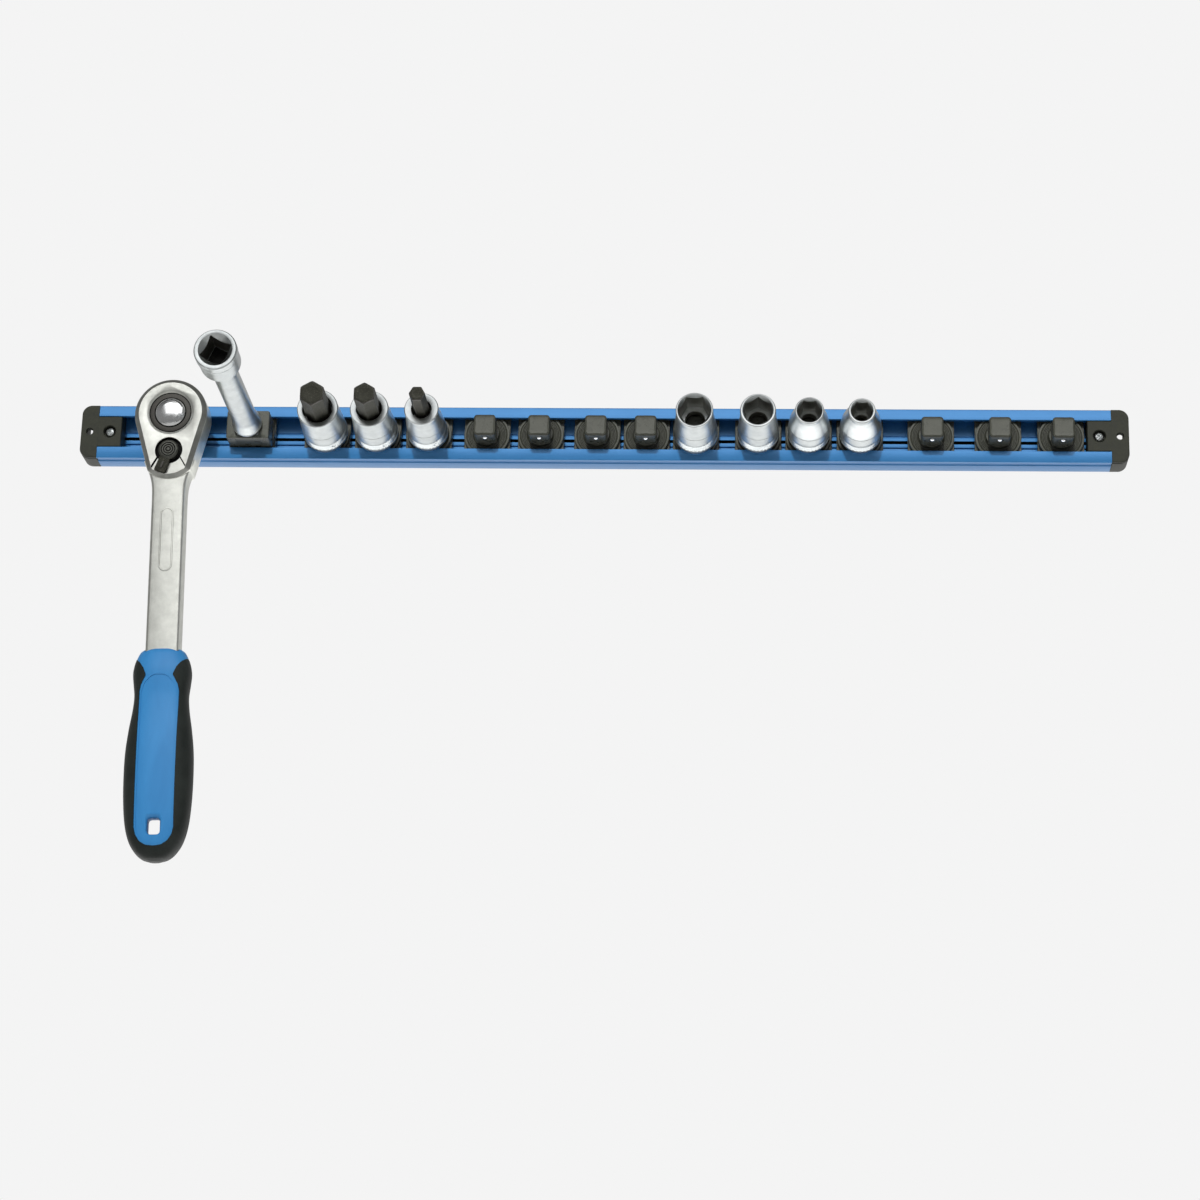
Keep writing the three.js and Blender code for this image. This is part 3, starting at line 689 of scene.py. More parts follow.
def build_block_clip():
    columns = 160
    outer = rectangle(12.2, 8.4, 1.0)
    hole = polygon(6.5, 4, 0.6)
    mouth = lambda angle: max(hole(angle), 8.0)
    high = 27.5
    rows = clip_plate() + [(scaled(outer, 0.25), 12.6)]
    rows += [
        (outer, 12.9), (outer, high - 0.7), (scaled(outer, -0.12), high - 0.35),
        (scaled(outer, -0.4), high - 0.08), (scaled(outer, -0.8), high), (scaled(mouth, 0.3), high),
        (mouth, high - 0.25), (mouth, high - 1.7), (hole, high - 1.7), (hole, 9.9)
    ]
    return spin(rows, columns)


post_clip = build_post_clip()
block_clip = build_block_clip()
for node in sorted(n for n in frame["nodes"] if n.startswith("clip_")):
    has_post = heights(node)[1] > 28
    place(duplicate(post_clip if has_post else block_clip), node, "clip_plastic")
bpy.data.objects.remove(post_clip)
bpy.data.objects.remove(block_clip)


def build_ball(radius):
    """A ball of six subdivided cube faces pushed out to the sphere."""
    mesh = bpy.data.meshes.new("ball")
    bm = bmesh.new()
    bmesh.ops.create_cube(bm, size=1.0)
    bmesh.ops.subdivide_edges(bm, edges=bm.edges, cuts=7, use_grid_fill=True)
    for v in bm.verts:
        v.co = v.co.normalized() * radius
    bm.to_mesh(mesh)
    bm.free()
    obj = bpy.data.objects.new("ball", mesh)
    SCENE.collection.objects.link(obj)
    return obj


def place_ball(node, slot):
    at = centre(node)
    place(build_ball(reach(node)), node, slot, Matrix.Translation(at))


for node in sorted(n for n in frame["nodes"] if n.startswith("post_ball_")):
    place_ball(node, "ball_steel")


# ---- sockets ----
SOCKET_COLUMNS = 144
DRIVE_DEEP = 15.4
# across flats, turn of the hexagon, rim radius, radius of the hole through, narrower nose
HEXES = {
    "socket_10": (16, 0, 10.55, 5.6, False), "socket_11": (14.5, 30, 10.05, 5.4, False),
    "socket_12": (12, 0, 8.15, 4.4, True), "socket_13": (10.5, 0, 7.6, 3.9, True),
}
# across flats, turn of the hexagon, rim radius, radius of the recess
BITS = {
    "03": (13, 30, 11.6, 8.5), "04": (11.5, 30, 10.9, 7.2), "05": (8, 0, 9.7, 5.65),
}


def drive_mouth(low, hole):
    """Rings of the square drive opening, from its floor out to the foot of the socket."""
    meet = lambda angle: low + max((9.1 - max(hole(angle), 6.46)) / 0.95, 0)
    return [(hole, low + DRIVE_DEEP), (hole, meet), (9.1, low), (9.35, low)]


def knurled(r, depth, phase):
    return lambda angle: r - depth * (0.5 + 0.5 * math.cos(36 * angle + phase))


def socket_side(node, low, top, rim, nose):
    """Rings of the outside: foot, knurled band, two fine grooves, shoulder and rim."""
    base = reach(node)
    drop = base - rim
    if nose:
        shape = [
            (base, low), (base, low + 12), (base - 0.19 * drop, low + 19.2),
            (base - 0.37 * drop, low + 22.8), (base - 0.59 * drop, low + 26.1),
            (base - 0.8 * drop, low + 29.3), (rim, low + 33.5), (rim, top)
        ]
        side = soften(shape, 4.0, 6)
    else:
        side = soften([(base, low), (base - 0.05 * drop, low + 3), (rim, low + 31), (rim, top)], 5.0, 6)

    def at(h, deep=0.0):
        for (r0, h0), (r1, h1) in zip(side, side[1:]):
            if h0 <= h <= h1 and h1 > h0:
                return r0 + (r1 - r0) * (h - h0) / (h1 - h0) - deep
        return rim - deep

    rows = soften(
        [(9.5, low), (base - 0.9, low, 0.2), (base - 0.15, low + 0.7, 0.6), (at(low + 3.4), low + 3.4)],
        0.4, 4
    )
    rows += [(at(low + 3.55, 0.2), low + 3.55), (at(low + 3.8, 0.2), low + 3.8), (at(low + 4), low + 4)]
    for k in range(11):
        h = low + 4.2 + k * 0.55
        rows.append((knurled(at(h), 0.36, math.pi * (k % 2)), h))
    for h in (low + 10.2, low + 18.6):
        rows += [
            (at(h - 0.3), h - 0.3), (at(h - 0.12, 0.22), h - 0.12), (at(h + 0.12, 0.22), h + 0.12),
            (at(h + 0.3), h + 0.3)
        ]
        if h < low + 12:
            rows += [(at(low + 11 + k), low + 11 + k) for k in range(7)]
    rows += [(r, h) for r, h in side if low + 19.2 < h < top - 3]
    rows += soften([(rim, top - 2.4), (rim, top - 0.55), (rim - 0.5, top)], 0.4, 3)
    return rows


def build_hex_socket(node):
    af, turn, rim, hole_r, nose = HEXES[node]
    low, top = heights(node)
    corner = af / math.sqrt(3)
    square = polygon(6.45, 4, 0.4)
    hexagon = polygon(af / 2, 6, 0.25, turn + 30)
    rows = [(hole_r, low + DRIVE_DEEP)] + drive_mouth(low, square) + socket_side(node, low, top, rim, nose)
    lip = corner + 0.25
    fall = 1.15 / 1.65
    meet = lambda angle: top - max(lip - hexagon(angle), 0) / fall
    rows += [(lip + 0.12, top), (lip, top - 0.06)]
    for t in (0.35, 0.7, 1.0):
        rows.append((
            lambda a, t=t: lip + (min(hexagon(a), lip) - lip) * t,
            lambda a, t=t: top - 0.06 + (meet(a) - top) * t,
        ))
    deep = top - 16
    rows += [
        (hexagon, deep + 0.3), (scaled(hexagon, -0.3), deep), (hole_r + 0.2, deep), (hole_r, deep - 0.2)
    ]
    rows.append((hole_r, low + DRIVE_DEEP))
    socket = spin_open(rows, SOCKET_COLUMNS)
    # The inside walls get the darker bore material: painted shade inside the socket.
    return paint_bore_shade(socket, "satin_chrome", low, top, corner + 0.3)


def spin_open(profile, columns):
    """Like spin, for a profile that comes back to its first ring: a solid with a hole right through."""
    rings = turned(profile[:-1], columns)
    n, m = columns, len(rings)
    verts = [(x, -h, z) for ring in rings for x, h, z in ring]
    faces = [
        (k * n + i, k * n + (i + 1) % n, ((k + 1) % m) * n + (i + 1) % n, ((k + 1) % m) * n + i)
        for k in range(m)
        for i in range(n)
    ]
    return raw(verts, faces)


def build_bit_socket(number):
    af, turn, rim, recess = BITS[number]
    node = f"bit_socket_{number}"
    low, top = heights(node)
    square = polygon(6.45, 4, 0.4)
    hexagon = polygon((af + 0.2) / 2, 6, 0.1, turn + 30)
    seat, floor = low + 18, low + 25
    # the bit closes the bore at its seat, so the inside is two blind pockets
    rows = drive_mouth(low, square) + socket_side(node, low, top, rim, False)
    rows += [(recess + 0.35, top), (recess + 0.08, top - 0.12), (recess, top - 0.4), (recess, floor + 0.4)]
    rows += [(recess - 0.4, floor), (hexagon, floor), (hexagon, seat)]
    socket = spin(rows, SOCKET_COLUMNS)
    base = reach(node)
    ball = build_ball(1.35)
    angle = math.radians(28)
    out = base + 0.45
    shifted(ball, out * math.sin(angle), low + 7, -out * math.cos(angle))
    # The recess and drive walls get the darker bore material: painted shade inside the socket.
    return paint_bore_shade(cut(socket, ball), "satin_chrome", low, top, recess + 0.3)


def build_bit(number):
    af, turn = BITS[number][:2]
    node = f"hex_bit_{number}"
    low, tip = heights(node)
    body = polygon(af / 2, 6, 0.35, turn + 30)
    end = polygon(af / 2 - 0.65, 6, 0.35, turn + 30)
    circle = af / 2 * 1.02
    chamfer = lambda h: lambda angle: min(body(angle), circle + (tip - h) * 1.1)
    rows = [(scaled(body, -0.3), low), (body, low + 0.4), (body, tip - 1.6)]
    for h in (tip - 1.2, tip - 0.9, tip - 0.6, tip - 0.3):
        rows.append((chamfer(h), h))
    rows += [
        (lambda a: min(body(a), circle) - 0.1, tip - 0.08), (lambda a: min(body(a), circle) - 0.35, tip)
    ]
    rows += [(af * 0.3, tip), (af * 0.28, tip - 0.05)]
    return finish_part(
        spin(rows, SOCKET_COLUMNS), "black_oxide",
        ("grey_steel", lambda r, h, c, n: h > tip - 1.3 and abs(n.y) < 0.97),
    )


for node in HEXES:
    place(build_hex_socket(node), node, "satin_chrome")
for number in BITS:
    place(build_bit_socket(number), f"bit_socket_{number}", "satin_chrome")
    place(build_bit(number), f"hex_bit_{number}", "black_oxide")


# ---- extension bar ----
def male_square(low, high):
    half = 6.2
    side = polygon(half, 4, 0.9)
    return [
        (scaled(side, -1.3), low), (scaled(side, -0.9), low + 0.12), (scaled(side, -0.12), low + 1.2),
        (side, low + 1.6), (side, high)
    ]


def build_extension():
    low, rim = heights("extension_bar")
    foot = low + 14.7
    hole = polygon(6.45, 4, 0.35, -25)
    rows = male_square(low, foot)
    rows += soften(
        [
            (6.9, foot, 0), (7.5, foot, 0.2), (8.4, foot + 3.3, 0.8), (8.4, foot + 4.6, 0.3),
            (8.22, foot + 4.8, 0.1), (8.22, foot + 5.1, 0.1), (8.4, foot + 5.3, 0.2),
            (8.3, foot + 5.9, 1.0), (7.3, foot + 12.9, 6), (7.0, foot + 19, 6), (7.0, 115.2, 0.6),
            (7.6, 116.7, 0.6), (10.5, 117.5, 0.6), (11.2, 118.5, 0.8), (11.3, rim - 7.1, 0.2),
            (11.1, rim - 6.9, 0.1), (11.1, rim - 6.6, 0.1), (11.35, rim - 6.4, 0.3), (11.8, rim - 5.3, 0.8),
            (11.8, rim - 0.7, 0.5), (11.2, rim, 0.2), (9.6, rim, 0)
        ],
        0.3, 4,
    )
    lip, fall = 9.35, 2.75 / 3.0
    meet = lambda angle: rim - max(lip - max(hole(angle), 6.46), 0) / fall
    rows += [(lip, rim - 0.06)]
    for t in (0.25, 0.5, 0.75, 1.0):
        rows.append((
            lambda a, t=t: lip + (min(hole(a), lip) - lip) * t,
            lambda a, t=t: rim - 0.06 + (meet(a) - rim) * t,
        ))
    rows += [(hole, rim - 15.7), (scaled(hole, -0.3), rim - 16)]
    bar = spin(rows, 144)
    pocket = round_cutter(1.75, -7.2, -6.2 + 2.2, 18.5, chamfer=0.12)
    # The square hole's floor gets painted shadow and its walls the darker bore material: painted shade.
    return finish_part(
        cut(bar, pocket), "satin_chrome",
        ("shadow_gap", lambda r, h, c, n: r < 9.2 and rim - 17 < h < rim - 14 and abs(n.y) > 0.9),
        ("bore", lambda r, h, c, n: r < 9.2 and rim - 17 < h < rim - 0.5 and abs(n.y) < 0.35),
    )


place(build_extension(), "extension_bar", "satin_chrome")
place_ball("extension_ball", "bright_chrome")


# ---- ratchet ----
BACK = heights("ratchet_body")[0]
PIVOT = -23.1
LEAN = math.radians(-1.8)
RATCHET = Matrix.Translation((centre("clip_01").x, 0, 0)) @ Matrix.Rotation(LEAN, 4, "Y")


def K(k):
    return BACK + k


def teardrop(r, end_r, arc=72, end=28):
    points = []
    for i in range(arc + 1):
        a = math.radians(195 - 210 * i / arc)
        points.append((r * math.cos(a), r * math.sin(a)))
    px, pz = points[-1]
    a = math.radians(-15)
    dx, dz = math.sin(a), -math.cos(a)
    qx, qz = px, pz - PIVOT
    b = qx * dx + qz * dz
    t = -b + math.sqrt(b * b - (qx * qx + qz * qz - end_r * end_r))
    start = math.atan2(qz + t * dz, qx + t * dx)
    side = 6
    for i in range(1, side):
        points.append((px + dx * t * i / side, pz + dz * t * i / side))
    for i in range(end + 1):
        e = start + (-math.pi - 2 * start) * i / end
        points.append((end_r * math.cos(e), PIVOT + end_r * math.sin(e)))
    qx, qz = points[-1]
    ex, ez = points[0]
    for i in range(1, side):
        points.append((qx + (ex - qx) * i / side, qz + (ez - qz) * i / side))
    return points


def outline_skin(rows):
    return skin([[(x, h, z) for x, z in points] for points, h in rows])


def stadium(r, top, bottom, steps=16):
    return arc(0, top - r, r, 0, 180, steps) + arc(0, bottom + r, r, 180, 180, steps)


def build_ratchet_body():
    profile = soften(
        [(0.8, 0, 0), (0.8, 0.0), (0, 0.8, 0.4), (0, 15.8, 0.35), (2.6, 18.2, 0.3), (3.0, 18.2, 0)], 0.3, 4
    )[1:]
    head = outline_skin([(teardrop(20.6 - d, 16.4 - d * 0.81), K(k)) for d, k in profile])

    widths = catmull(
        [
            (-28, 14.6), (-31, 13.5), (-34, 12.1), (-38, 10.7), (-42, 9.8), (-46, 9.42), (-52, 9.3),
            (-60, 9.3), (-141, 9.3)
        ],
        4
    )

    def shank_ring(z, half):
        low, high, c = 3.0, 15.2, 1.7
        ring = arc(half - c, low + c, c, -90, 90, 6) + arc(half - c, high - c, c, 0, 90, 6)
        ring += [
            (x, high + 0.35 * (1 - (x / (half - c)) ** 2)) for x in
            [(half - c) * (1 - i / 6) for i in range(1, 12)]
        ]
        ring += arc(-half + c, high - c, c, 90, 90, 6) + arc(-half + c, low + c, c, 180, 90, 6)
        return [(x, K(k), z) for x, k in ring]

    shank = skin([shank_ring(z, half) for z, half in widths])
    tang = slab(corners(5.5, -199, -139), K(5), K(13))
    frame_top, frame_end = -56.5, -94.5
    raised = outline_skin([
        (stadium(3.9, frame_top, frame_end), K(13)), (stadium(3.9, frame_top, frame_end), K(15.65)),
        (stadium(3.75, frame_top - 0.15, frame_end + 0.15), K(15.82)),
        (stadium(3.55, frame_top - 0.35, frame_end + 0.35), K(15.85)),
    ])
    field = outline_skin(
        [
            (stadium(2.9, frame_top - 1.0, frame_end + 1.0), K(15.5)),
            (stadium(3.1, frame_top - 0.8, frame_end + 0.8), K(15.75)),
            (stadium(3.3, frame_top - 0.6, frame_end + 0.6), K(16.2)),
        ]
    )
    raised = cut(raised, field)
    body = join(head, shank, tang, raised)
    cover = outline_skin([(teardrop(16.9, 11.7), K(-1)), (teardrop(16.9, 11.7), K(2.2))])
    cavity = spin([(14.4, K(1)), (14.4, K(14.6))], 72)
    pocket = slab(
        [(-8.5, -11), (8.5, -11), (6.2, -24), (4.6, -28.6), (-4.6, -28.6), (-6.2, -24)], K(1), K(14.6)
    )
    mouth = spin(
        [
            (11.9, K(14)), (11.9, K(17.3)), (12.05, K(17.45)), (13.3, K(18.1)), (13.6, K(18.22)),
            (13.6, K(20))
        ],
        120
    )
    lever = spin([(7.6, K(16)), (7.6, K(17.9)), (7.85, K(18.22)), (7.85, K(20))], 72)
    fan = slab(
        soften(
            [
                (-6.2, -27.4), (-9.8, -32.9), (-9.2, -34.3), (-5.3, -36.4), (0, -37.2), (5.3, -36.4),
                (9.2, -34.3), (9.8, -32.9), (6.2, -27.4)
            ],
            0.6, 4, closed=True
        ),
        K(17), K(20),
    )
    groove = [(6.0, -27.0), (9.3, -32.8), (9.9, -32.5), (6.6, -26.7)]
    mirrored = [(-x, z) for x, z in reversed(groove)]
    slots = [slab(points, K(16.2), K(20)) for points in (mirrored, groove)]
    shaft = spin([(3, K(14)), (3, K(17))], 32)
    cutters = [cover, cavity, pocket, mouth, shifted(lever, z=PIVOT), fan, *slots, shifted(shaft, z=PIVOT)]
    for x in (-9.2, 9.2):
        cutters.append(shifted(spin([(1.25, K(0)), (1.25, K(8))], 16), x, 0, -21))
    body = cut(body, *cutters)

    def gap(r, h, c, n):
        near = math.hypot(c.x, c.z - PIVOT) < 7.75 and K(15.9) < h < K(18)
        side = -33 < c.z < PIVOT - 3 and K(16.1) < h < K(18) and abs(c.x) < 10.1 and (
            abs(n.y) < 0.35 or h < K(16.9)
        )
        ring = r < 12.0 and K(14) < h < K(17.4)
        return near or side or ring

    # The head's bevel band takes a darker copy of the forging: painted shade.
    def painted_shade_bevel_band(r, h, c, n):
        return K(15.9) < h < K(18.15) and 0.3 < abs(n.y) < 0.9 and math.hypot(c.x, c.z) > 14.5 and c.z > -40

    return finish_part(body, "satin_forging", ("shadow_gap", gap), ("forged_bevel", painted_shade_bevel_band))


def build_cover():
    rows = soften([(0.25, 0.1), (0, 0.35), (0, 2.1)], 0.1, 3)
    plate = outline_skin([(teardrop(16.7 - d, 11.5 - d), K(k)) for d, k in rows])
    ring = spin([(10.5, K(-1)), (10.5, K(0.1)), (10.3, K(0.35)), (10.3, K(3))], 96)
    cutters = [ring]
    for x in (-9.2, 9.2):
        seat = spin([(2.35, K(-1)), (2.35, K(0.1)), (2.2, K(0.3)), (2.2, K(1.2))], 32)
        hole = spin([(1.25, K(0)), (1.25, K(3))], 24)
        cutters += [shifted(seat, x, 0, -21), shifted(hole, x, 0, -21)]
    return cut(plate, *cutters)


def build_cover_screw(side):
    screw = spin(
        soften(
            [
                (1.6, K(0.2)), (2.0, K(0.35)), (2.0, K(1.1), 0.05), (1.1, K(1.1), 0.05), (1.1, K(6.3)),
                (0.8, K(6.5))
            ],
            0.1, 3
        ),
        40
    )
    slot = spin([(polygon(0.75, 6, 0.05), K(-1)), (polygon(0.75, 6, 0.05), K(0.9))], 48)
    return shifted(cut(screw, slot), side * 9.2, 0, -21)


def build_gear():
    teeth = 36

    def tooth(base, tip):
        def radius(angle):
            phase = ((angle + math.pi / 2) * teeth / TAU) % 1.0
            return base + (tip - base) * max(0.0, 1 - 2.6 * abs(phase - 0.5)) ** 0.8
        return radius

    rows = male_square(K(-15.3), K(0))
    rows += [
        (9.8, K(0)), (10, K(0.2)), (10, K(2.4)), (tooth(12.5, 13.1), K(2.4)), (tooth(12.8, 13.6), K(2.8)),
        (tooth(12.8, 13.6), K(13.8)), (tooth(12.5, 13.1), K(14.2)), (11.6, K(14.2)), (11.6, K(17.15)),
        (11.5, K(17.4)), (11.2, K(17.5)), (9.1, K(17.5)), (8.8, K(17.3)), (8.75, K(17.0)), (8.75, K(13.2))
    ]
    gear = spin(rows, 288)
    pocket = round_cutter(2.15, -7.2, -6.2 + 2.2, K(-8), chamfer=0.12)
    stem = spin([(1.5, K(-12.6)), (1.5, K(13.6))], 32)
    return finish_part(
        cut(gear, pocket, stem), "grey_steel",
        ("shadow_gap", lambda r, h, c, n: h > K(14.3) and (r < 8.95 or r > 11.4)),
    )


def build_button():
    rows = [(1.2, K(-10)), (1.2, K(15.4)), (8.1, K(15.4)), (8.5, K(15.7)), (8.5, K(17.5))]
    dome = [
        (8.5, 17.5), (8.45, 17.9), (7.9, 18.5), (6.8, 19.1), (5.2, 19.6), (3.3, 19.9), (1.4, 20.07),
        (0.3, 20.1)
    ]
    rows += [(r, K(k)) for r, k in soften(dome, 2.0, 4)[1:]]
    return spin(rows, 96)


def build_lever():
    rows = [
        (2.8, K(3.2)), (2.8, K(16.3)), (5.5, K(16.3)), (5.75, K(16.5)), (5.75, K(19.0)), (5.6, K(19.45)),
        (5.2, K(19.85)), (4.7, K(20.1))
    ]
    for r in (4.2, 2.9, 1.6):
        rows += [(r, K(20.1)), (r - 0.15, K(19.65)), (r - 0.5, K(19.65)), (r - 0.65, K(20.1))]
    rows += [(0.9, K(20.15)), (0.3, K(20.2))]
    hub = spin(rows, 96)
    outline = soften(
        [
            (-2.9, 0, 0), (-3.1, -4.5, 0), (-3.4, -13.5, 0.6), (-2.9, -14.1, 0.4), (2.9, -14.1, 0.4),
            (3.4, -13.5, 0.6), (3.1, -4.5, 0), (2.9, 0, 0)
        ],
        0.4, 4, closed=True,
    )
    arm = bevel(slab(outline, K(17.3), K(19.3)), 0.3, 3)
    ridge = bevel(
        slab(
            soften([(-0.6, -7.5), (-0.6, -11.8), (0.6, -11.8), (0.6, -7.5)], 0.4, 4, closed=True), K(19),
            K(19.8)
        ),
        0.2, 2
    )
    # The ridge top gets the lighter grey steel as a painted glint; the hub's ring grooves get painted
    # shadow; the arm below the ridge is darker, in black oxide.
    lever = finish_part(
        join(hub, arm, ridge), "lever_steel",
        ("grey_steel", lambda r, h, c, n: abs(c.x) < 0.5 and -12 < c.z < -7.3 and h > K(19.5)),
        ("shadow_gap", lambda r, h, c, n: r < 4.4 and K(19.5) < h < K(20.05)),
        ("black_oxide", lambda r, h, c, n: c.z < -5.6 and h < K(19.4)),
    )
    return shifted(lever, 0, 0, PIVOT, 20)


# handle: [z, half width, half thickness]
STATIONS = [
    (-139.7, 11.2, 7.4), (-141, 12.7, 8.4), (-144.5, 14.4, 9.5), (-148.5, 15.6, 10.4), (-153, 16.2, 10.8),
    (-159, 15.7, 10.6), (-166, 15, 10.3), (-174, 15.6, 10.6), (-185, 17.3, 11.3), (-198, 18.7, 11.9),
    (-212, 19, 12), (-226, 18.6, 11.8), (-239, 17.3, 11.1), (-248, 14.9, 9.9), (-254, 11.4, 8),
    (-257.6, 7.4, 5.6), (-259.2, 3, 2.4),
]
HANDLE_MID = 9.0


def handle_form(shrink, columns=96):
    rings = []
    for z, a, b in catmull(STATIONS, 5):
        ring = []
        for i in range(columns):
            t = TAU * i / columns
            c, s = math.cos(t), math.sin(t)
            x = (a - shrink * 0.2) * math.copysign(abs(c) ** 0.8, c)
            k = (b - shrink) * math.copysign(abs(s) ** 0.8, s)
            ring.append((x, K(HANDLE_MID + k), z))
        rings.append(ring)
    return skin(rings)


def core_outline(gap):
    right = [
        (30, -130, 0), (30, -142, 0), (14.6, -144.6, 1.5), (11.6, -147.5, 3), (9.2, -151, 3),
        (7.4, -155.5, 1.2), (8.8, -158.2, 3), (10.2, -161, 3), (10.9, -164.5, 3), (10.8, -241.5, 3),
        (9.9, -245.6, 4), (7.6, -249.2, 4), (4.2, -251.3, 4), (0, -251.9, 4),
    ]
    right = [(x + gap, z - gap * (1 if z < -240 else 0), r) for x, z, r in right]
    left = [(-x, z, r) for x, z, r in reversed(right[:-1])]
    return soften(right + left, 1.0, 4, closed=True)


def panel_outline():
    """The long recessed panel inside the core, a stadium a little smaller than the core."""
    right = [
        (5, -156.6, 3), (8.4, -160.2, 4), (9.9, -165, 4), (9.8, -241.5, 4), (8.9, -245.2, 4),
        (6.8, -248.3, 4), (3.6, -250.3, 4), (0, -250.9, 4)
    ]
    left = [(-x, z, r) for x, z, r in reversed(right[:-1])]
    return soften(right + left + [(-2.5, -155.4, 3), (2.5, -155.4, 3)], 2.0, 4, closed=True)


def build_core():
    core = handle_form(0.55)
    core = combine(core, [slab(core_outline(0), K(-12), K(30))], "INTERSECT")
    panel = cut(slab(panel_outline(), K(-11), K(29)), handle_form(0.95))
    core = cut(core, panel)
    tang = slab(corners(5.7, -199.5, -138.5), K(4.8), K(13.2))
    shank = slab(corners(9.45, -141.1, -121.1), K(2.85), K(15.7))
    hang = soften([(3.5, 4.5), (-3.5, 4.5), (-3.5, -4.5), (3.5, -4.5)], 2.2, 8, closed=True)
    hang_z = -241.2

    def flare(rows):
        return outline_skin([
            ([(x * sx, z * sz + hang_z + up) for x, z in hang], K(HANDLE_MID + k)) for sx, sz, up, k in rows
        ])

    hole = slab([(x, z + hang_z) for x, z in hang], K(-12), K(30))
    dish = flare(
        [
            (0.99, 0.99, 0, 8.3), (1.05, 1.05, 0, 9.0), (1.18, 1.18, 0, 9.7), (1.42, 1.42, 0, 10.3),
            (2, 2, 0, 12)
        ]
    )
    recess = flare([(0.99, 0.99, 0, 4), (2.05, 1.85, 1.8, -10.4), (2.3, 2, 2, -14)])
    cutters = [tang, shank, hole, dish, recess]
    return cut(core, *cutters)


def build_grip():
    grip = handle_form(0)
    return cut(grip, slab(core_outline(0.08), K(-12), K(30)))


place(build_ratchet_body(), "ratchet_body", "satin_forging", RATCHET)
place(build_cover(), "ratchet_cover", "grey_steel", RATCHET)
for side, label in ((-1, "left"), (1, "right")):
    place(build_cover_screw(side), f"cover_screw_{label}", "black_oxide", RATCHET)
place(build_gear(), "drive_gear", "grey_steel", RATCHET)
place(build_button(), "release_button", "bright_chrome", RATCHET)
place_ball("drive_ball", "bright_chrome")
place(build_lever(), "reversing_lever", "lever_steel", RATCHET)
place(build_core(), "handle_core", "blue_plastic", RATCHET, crease=40)
place(build_grip(), "handle_grip", "black_elastomer", RATCHET, crease=40)
keep("pawl", "black_oxide")


# ---- camera, light and floor ----
def build_camera():
    """A long lens below and in front of the rail, looking up at it; angles in radians, place in metres."""
    pitch, yaw, roll, lens = 0.3181, -0.0600, -0.0266, 91.10
    spot = Vector((0.09961, -1.63122, -0.63314))
    c, s = math.cos(yaw), math.sin(yaw)
    turn = Matrix(((c, -s, 0), (s, c, 0), (0, 0, 1)))
    c, s = math.cos(pitch), math.sin(pitch)
    tilt = Matrix(((1, 0, 0), (0, c, s), (0, -s, c)))
    c, s = math.cos(roll), math.sin(roll)
    bank = Matrix(((c, 0, -s), (0, 1, 0), (s, 0, c)))
    view = bank @ tilt @ turn
    right, forward, up = view[0], view[1], view[2]
    data = bpy.data.cameras.new("camera")
    data.sensor_width = 36
    data.lens = lens
    camera = bpy.data.objects.new("camera", data)
    rotation = Matrix((right, up, -forward)).transposed()
    camera.matrix_world = Matrix.Translation(spot) @ rotation.to_4x4()
    SCENE.collection.objects.link(camera)
    SCENE.camera = camera


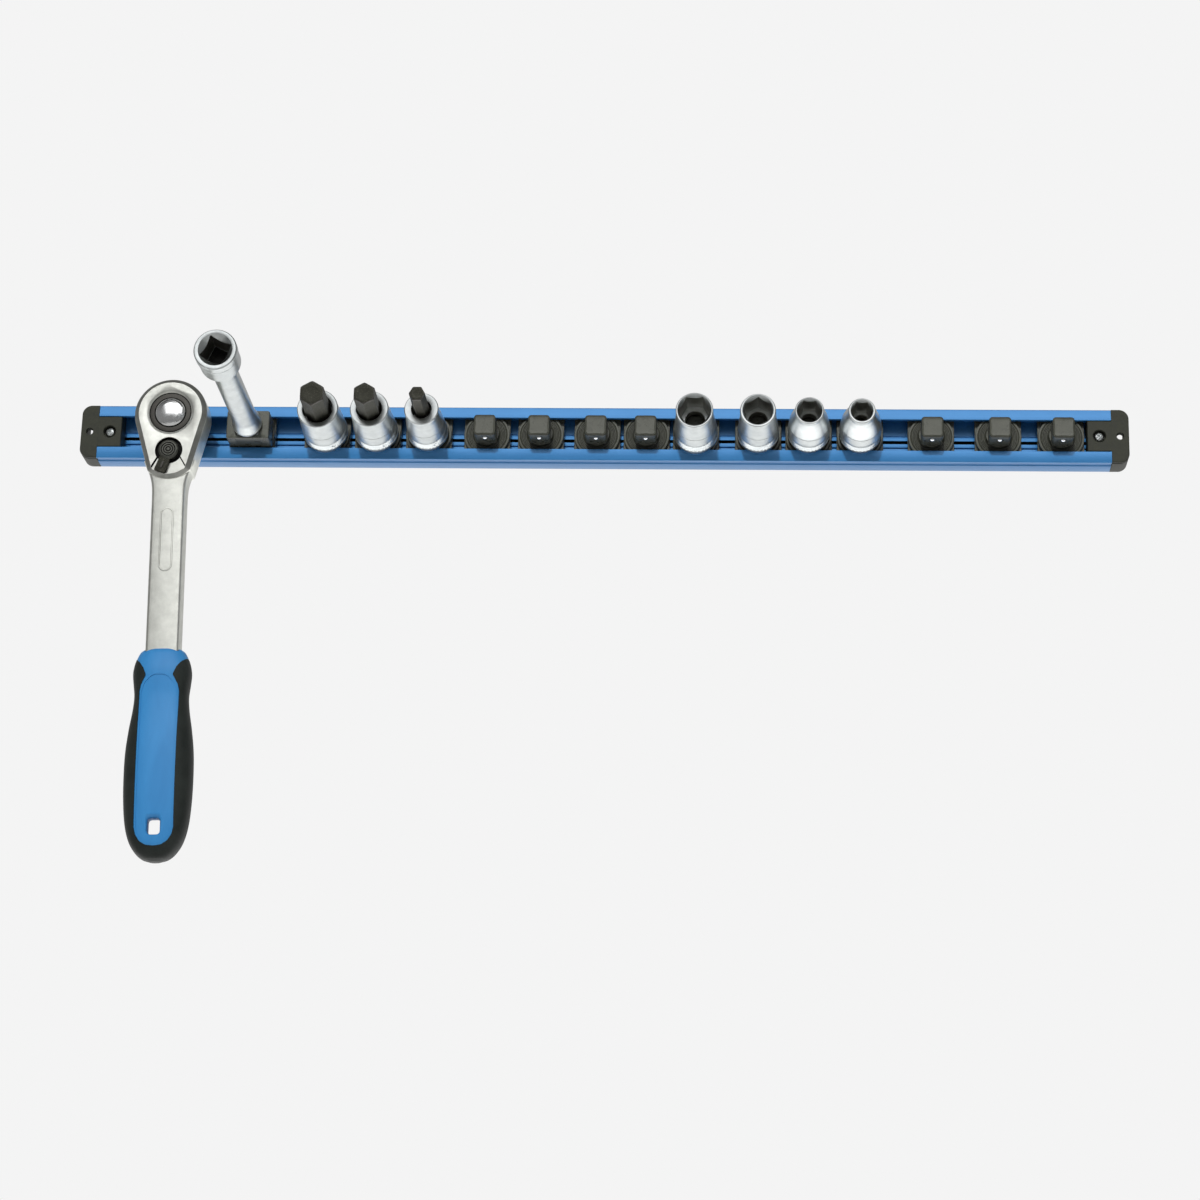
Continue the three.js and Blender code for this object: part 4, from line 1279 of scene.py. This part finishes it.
def build_world():
    """Pale backdrop for the camera; a white wall side, dim sides and a soft box for reflections."""
    world = bpy.data.worlds.new("studio")
    SCENE.world = world
    world.use_nodes = True
    tree = world.node_tree
    tree.nodes.clear()
    new, link = tree.nodes.new, tree.links.new
    coords = new("ShaderNodeTexCoord").outputs["Generated"]
    split = new("ShaderNodeSeparateXYZ")
    link(coords, split.inputs[0])

    def smooth(source, start, end, low, high):
        node = new("ShaderNodeMapRange")
        node.interpolation_type = "SMOOTHSTEP"
        set_inputs(node, From_Min=start, From_Max=end, To_Min=low, To_Max=high)
        link(source, node.inputs["Value"])
        return node.outputs["Result"]

    def combined(operation, a, b):
        node = new("ShaderNodeMath")
        node.operation = operation
        link(a, node.inputs[0])
        link(b, node.inputs[1])
        return node.outputs["Value"]

    behind = smooth(split.outputs["Y"], 0.1, 0.5, 0.0, 0.95)
    wall = combined("MULTIPLY", behind, smooth(split.outputs["Z"], -0.1, 0.25, 1.0, 0.3))
    front = smooth(split.outputs["Z"], 0.3, 0.9, 0.22, 0.1)
    dot = new("ShaderNodeVectorMath")
    dot.operation = "DOT_PRODUCT"
    dot.inputs[1].default_value = Vector((0.0, -1.0, 0.7)).normalized()
    link(coords, dot.inputs[0])
    box = smooth(dot.outputs["Value"], 0.87, 0.985, 0.0, 0.5)
    light = new("ShaderNodeBackground")
    light.inputs["Color"].default_value = (1.0, 1.0, 0.985, 1)
    brightness = combined("ADD", combined("ADD", wall, box), front)
    link(brightness, light.inputs["Strength"])
    plain = new("ShaderNodeBackground")
    plain.inputs["Color"].default_value = (0.905, 0.905, 0.905, 1)
    mix = new("ShaderNodeMixShader")
    link(new("ShaderNodeLightPath").outputs["Is Camera Ray"], mix.inputs[0])
    link(light.outputs[0], mix.inputs[1])
    link(plain.outputs[0], mix.inputs[2])
    link(mix.outputs[0], new("ShaderNodeOutputWorld").inputs[0])


def add_light(name, kind, energy, aim, spot=(0.0, 0.0, 0.0), **settings):
    """A light at spot that shines along aim."""
    data = bpy.data.lights.new(name, kind)
    data.energy = energy
    for key, setting in settings.items():
        setattr(data, key, setting)
    light = bpy.data.objects.new(name, data)
    light.rotation_mode = "QUATERNION"
    light.location = spot
    light.rotation_quaternion = Vector(aim).to_track_quat("-Z", "Y")
    SCENE.collection.objects.link(light)
    return light


def build_lights():
    """A key from the upper front, and two wide panels that only the shiny surfaces pick up."""
    key = add_light(
        "key", "SUN", 2.4, (0.07, 1.0, -0.45), angle=math.radians(2.6), color=(1.0, 0.985, 0.95)
    )
    key.visible_glossy = False
    fill = add_light(
        "fill", "AREA", 11.5, (0.0, -0.25, 0.78), (0.0, 0.25, -0.78), shape="RECTANGLE", size=2.2,
        size_y=1.1
    )
    softbox = add_light(
        "softbox", "AREA", 19.0, (0.0, 2.25, -1.4), (0.25, -2.25, 1.4), shape="RECTANGLE", size=3.0,
        size_y=1.7
    )
    for light in (fill, softbox):
        light.visible_camera = False
        light.visible_diffuse = False


def build_floor():
    """A plain pale floor well below the rail, which hangs on a wall."""
    turns = [TAU * i / 96 for i in range(96)]
    rings = [[(1.5 * math.cos(t), -h, 1.5 * math.sin(t)) for t in turns] for h in (0, 0.01)]
    verts = [(x, z, -0.85 - y) for ring in rings for x, y, z in ring]
    faces = [tuple(range(96)), tuple(range(96, 192))[::-1]]
    faces += [(i, 96 + i, 96 + (i + 1) % 96, (i + 1) % 96) for i in range(96)]
    mesh = bpy.data.meshes.new("floor")
    mesh.from_pydata(verts, [], faces)
    floor = bpy.data.objects.new("floor", mesh)
    m = Material("floor_paint", Roughness=0.8)
    m.colour(m.noise((0.002, 0.002, 0.002)), [(0.3, (0.86, 0.86, 0.86)), (0.7, (0.88, 0.88, 0.88))])
    mesh.materials.append(m.material)
    SCENE.collection.objects.link(floor)


build_camera()
build_world()
build_lights()
build_floor()
SCENE.view_settings.view_transform = "Standard"
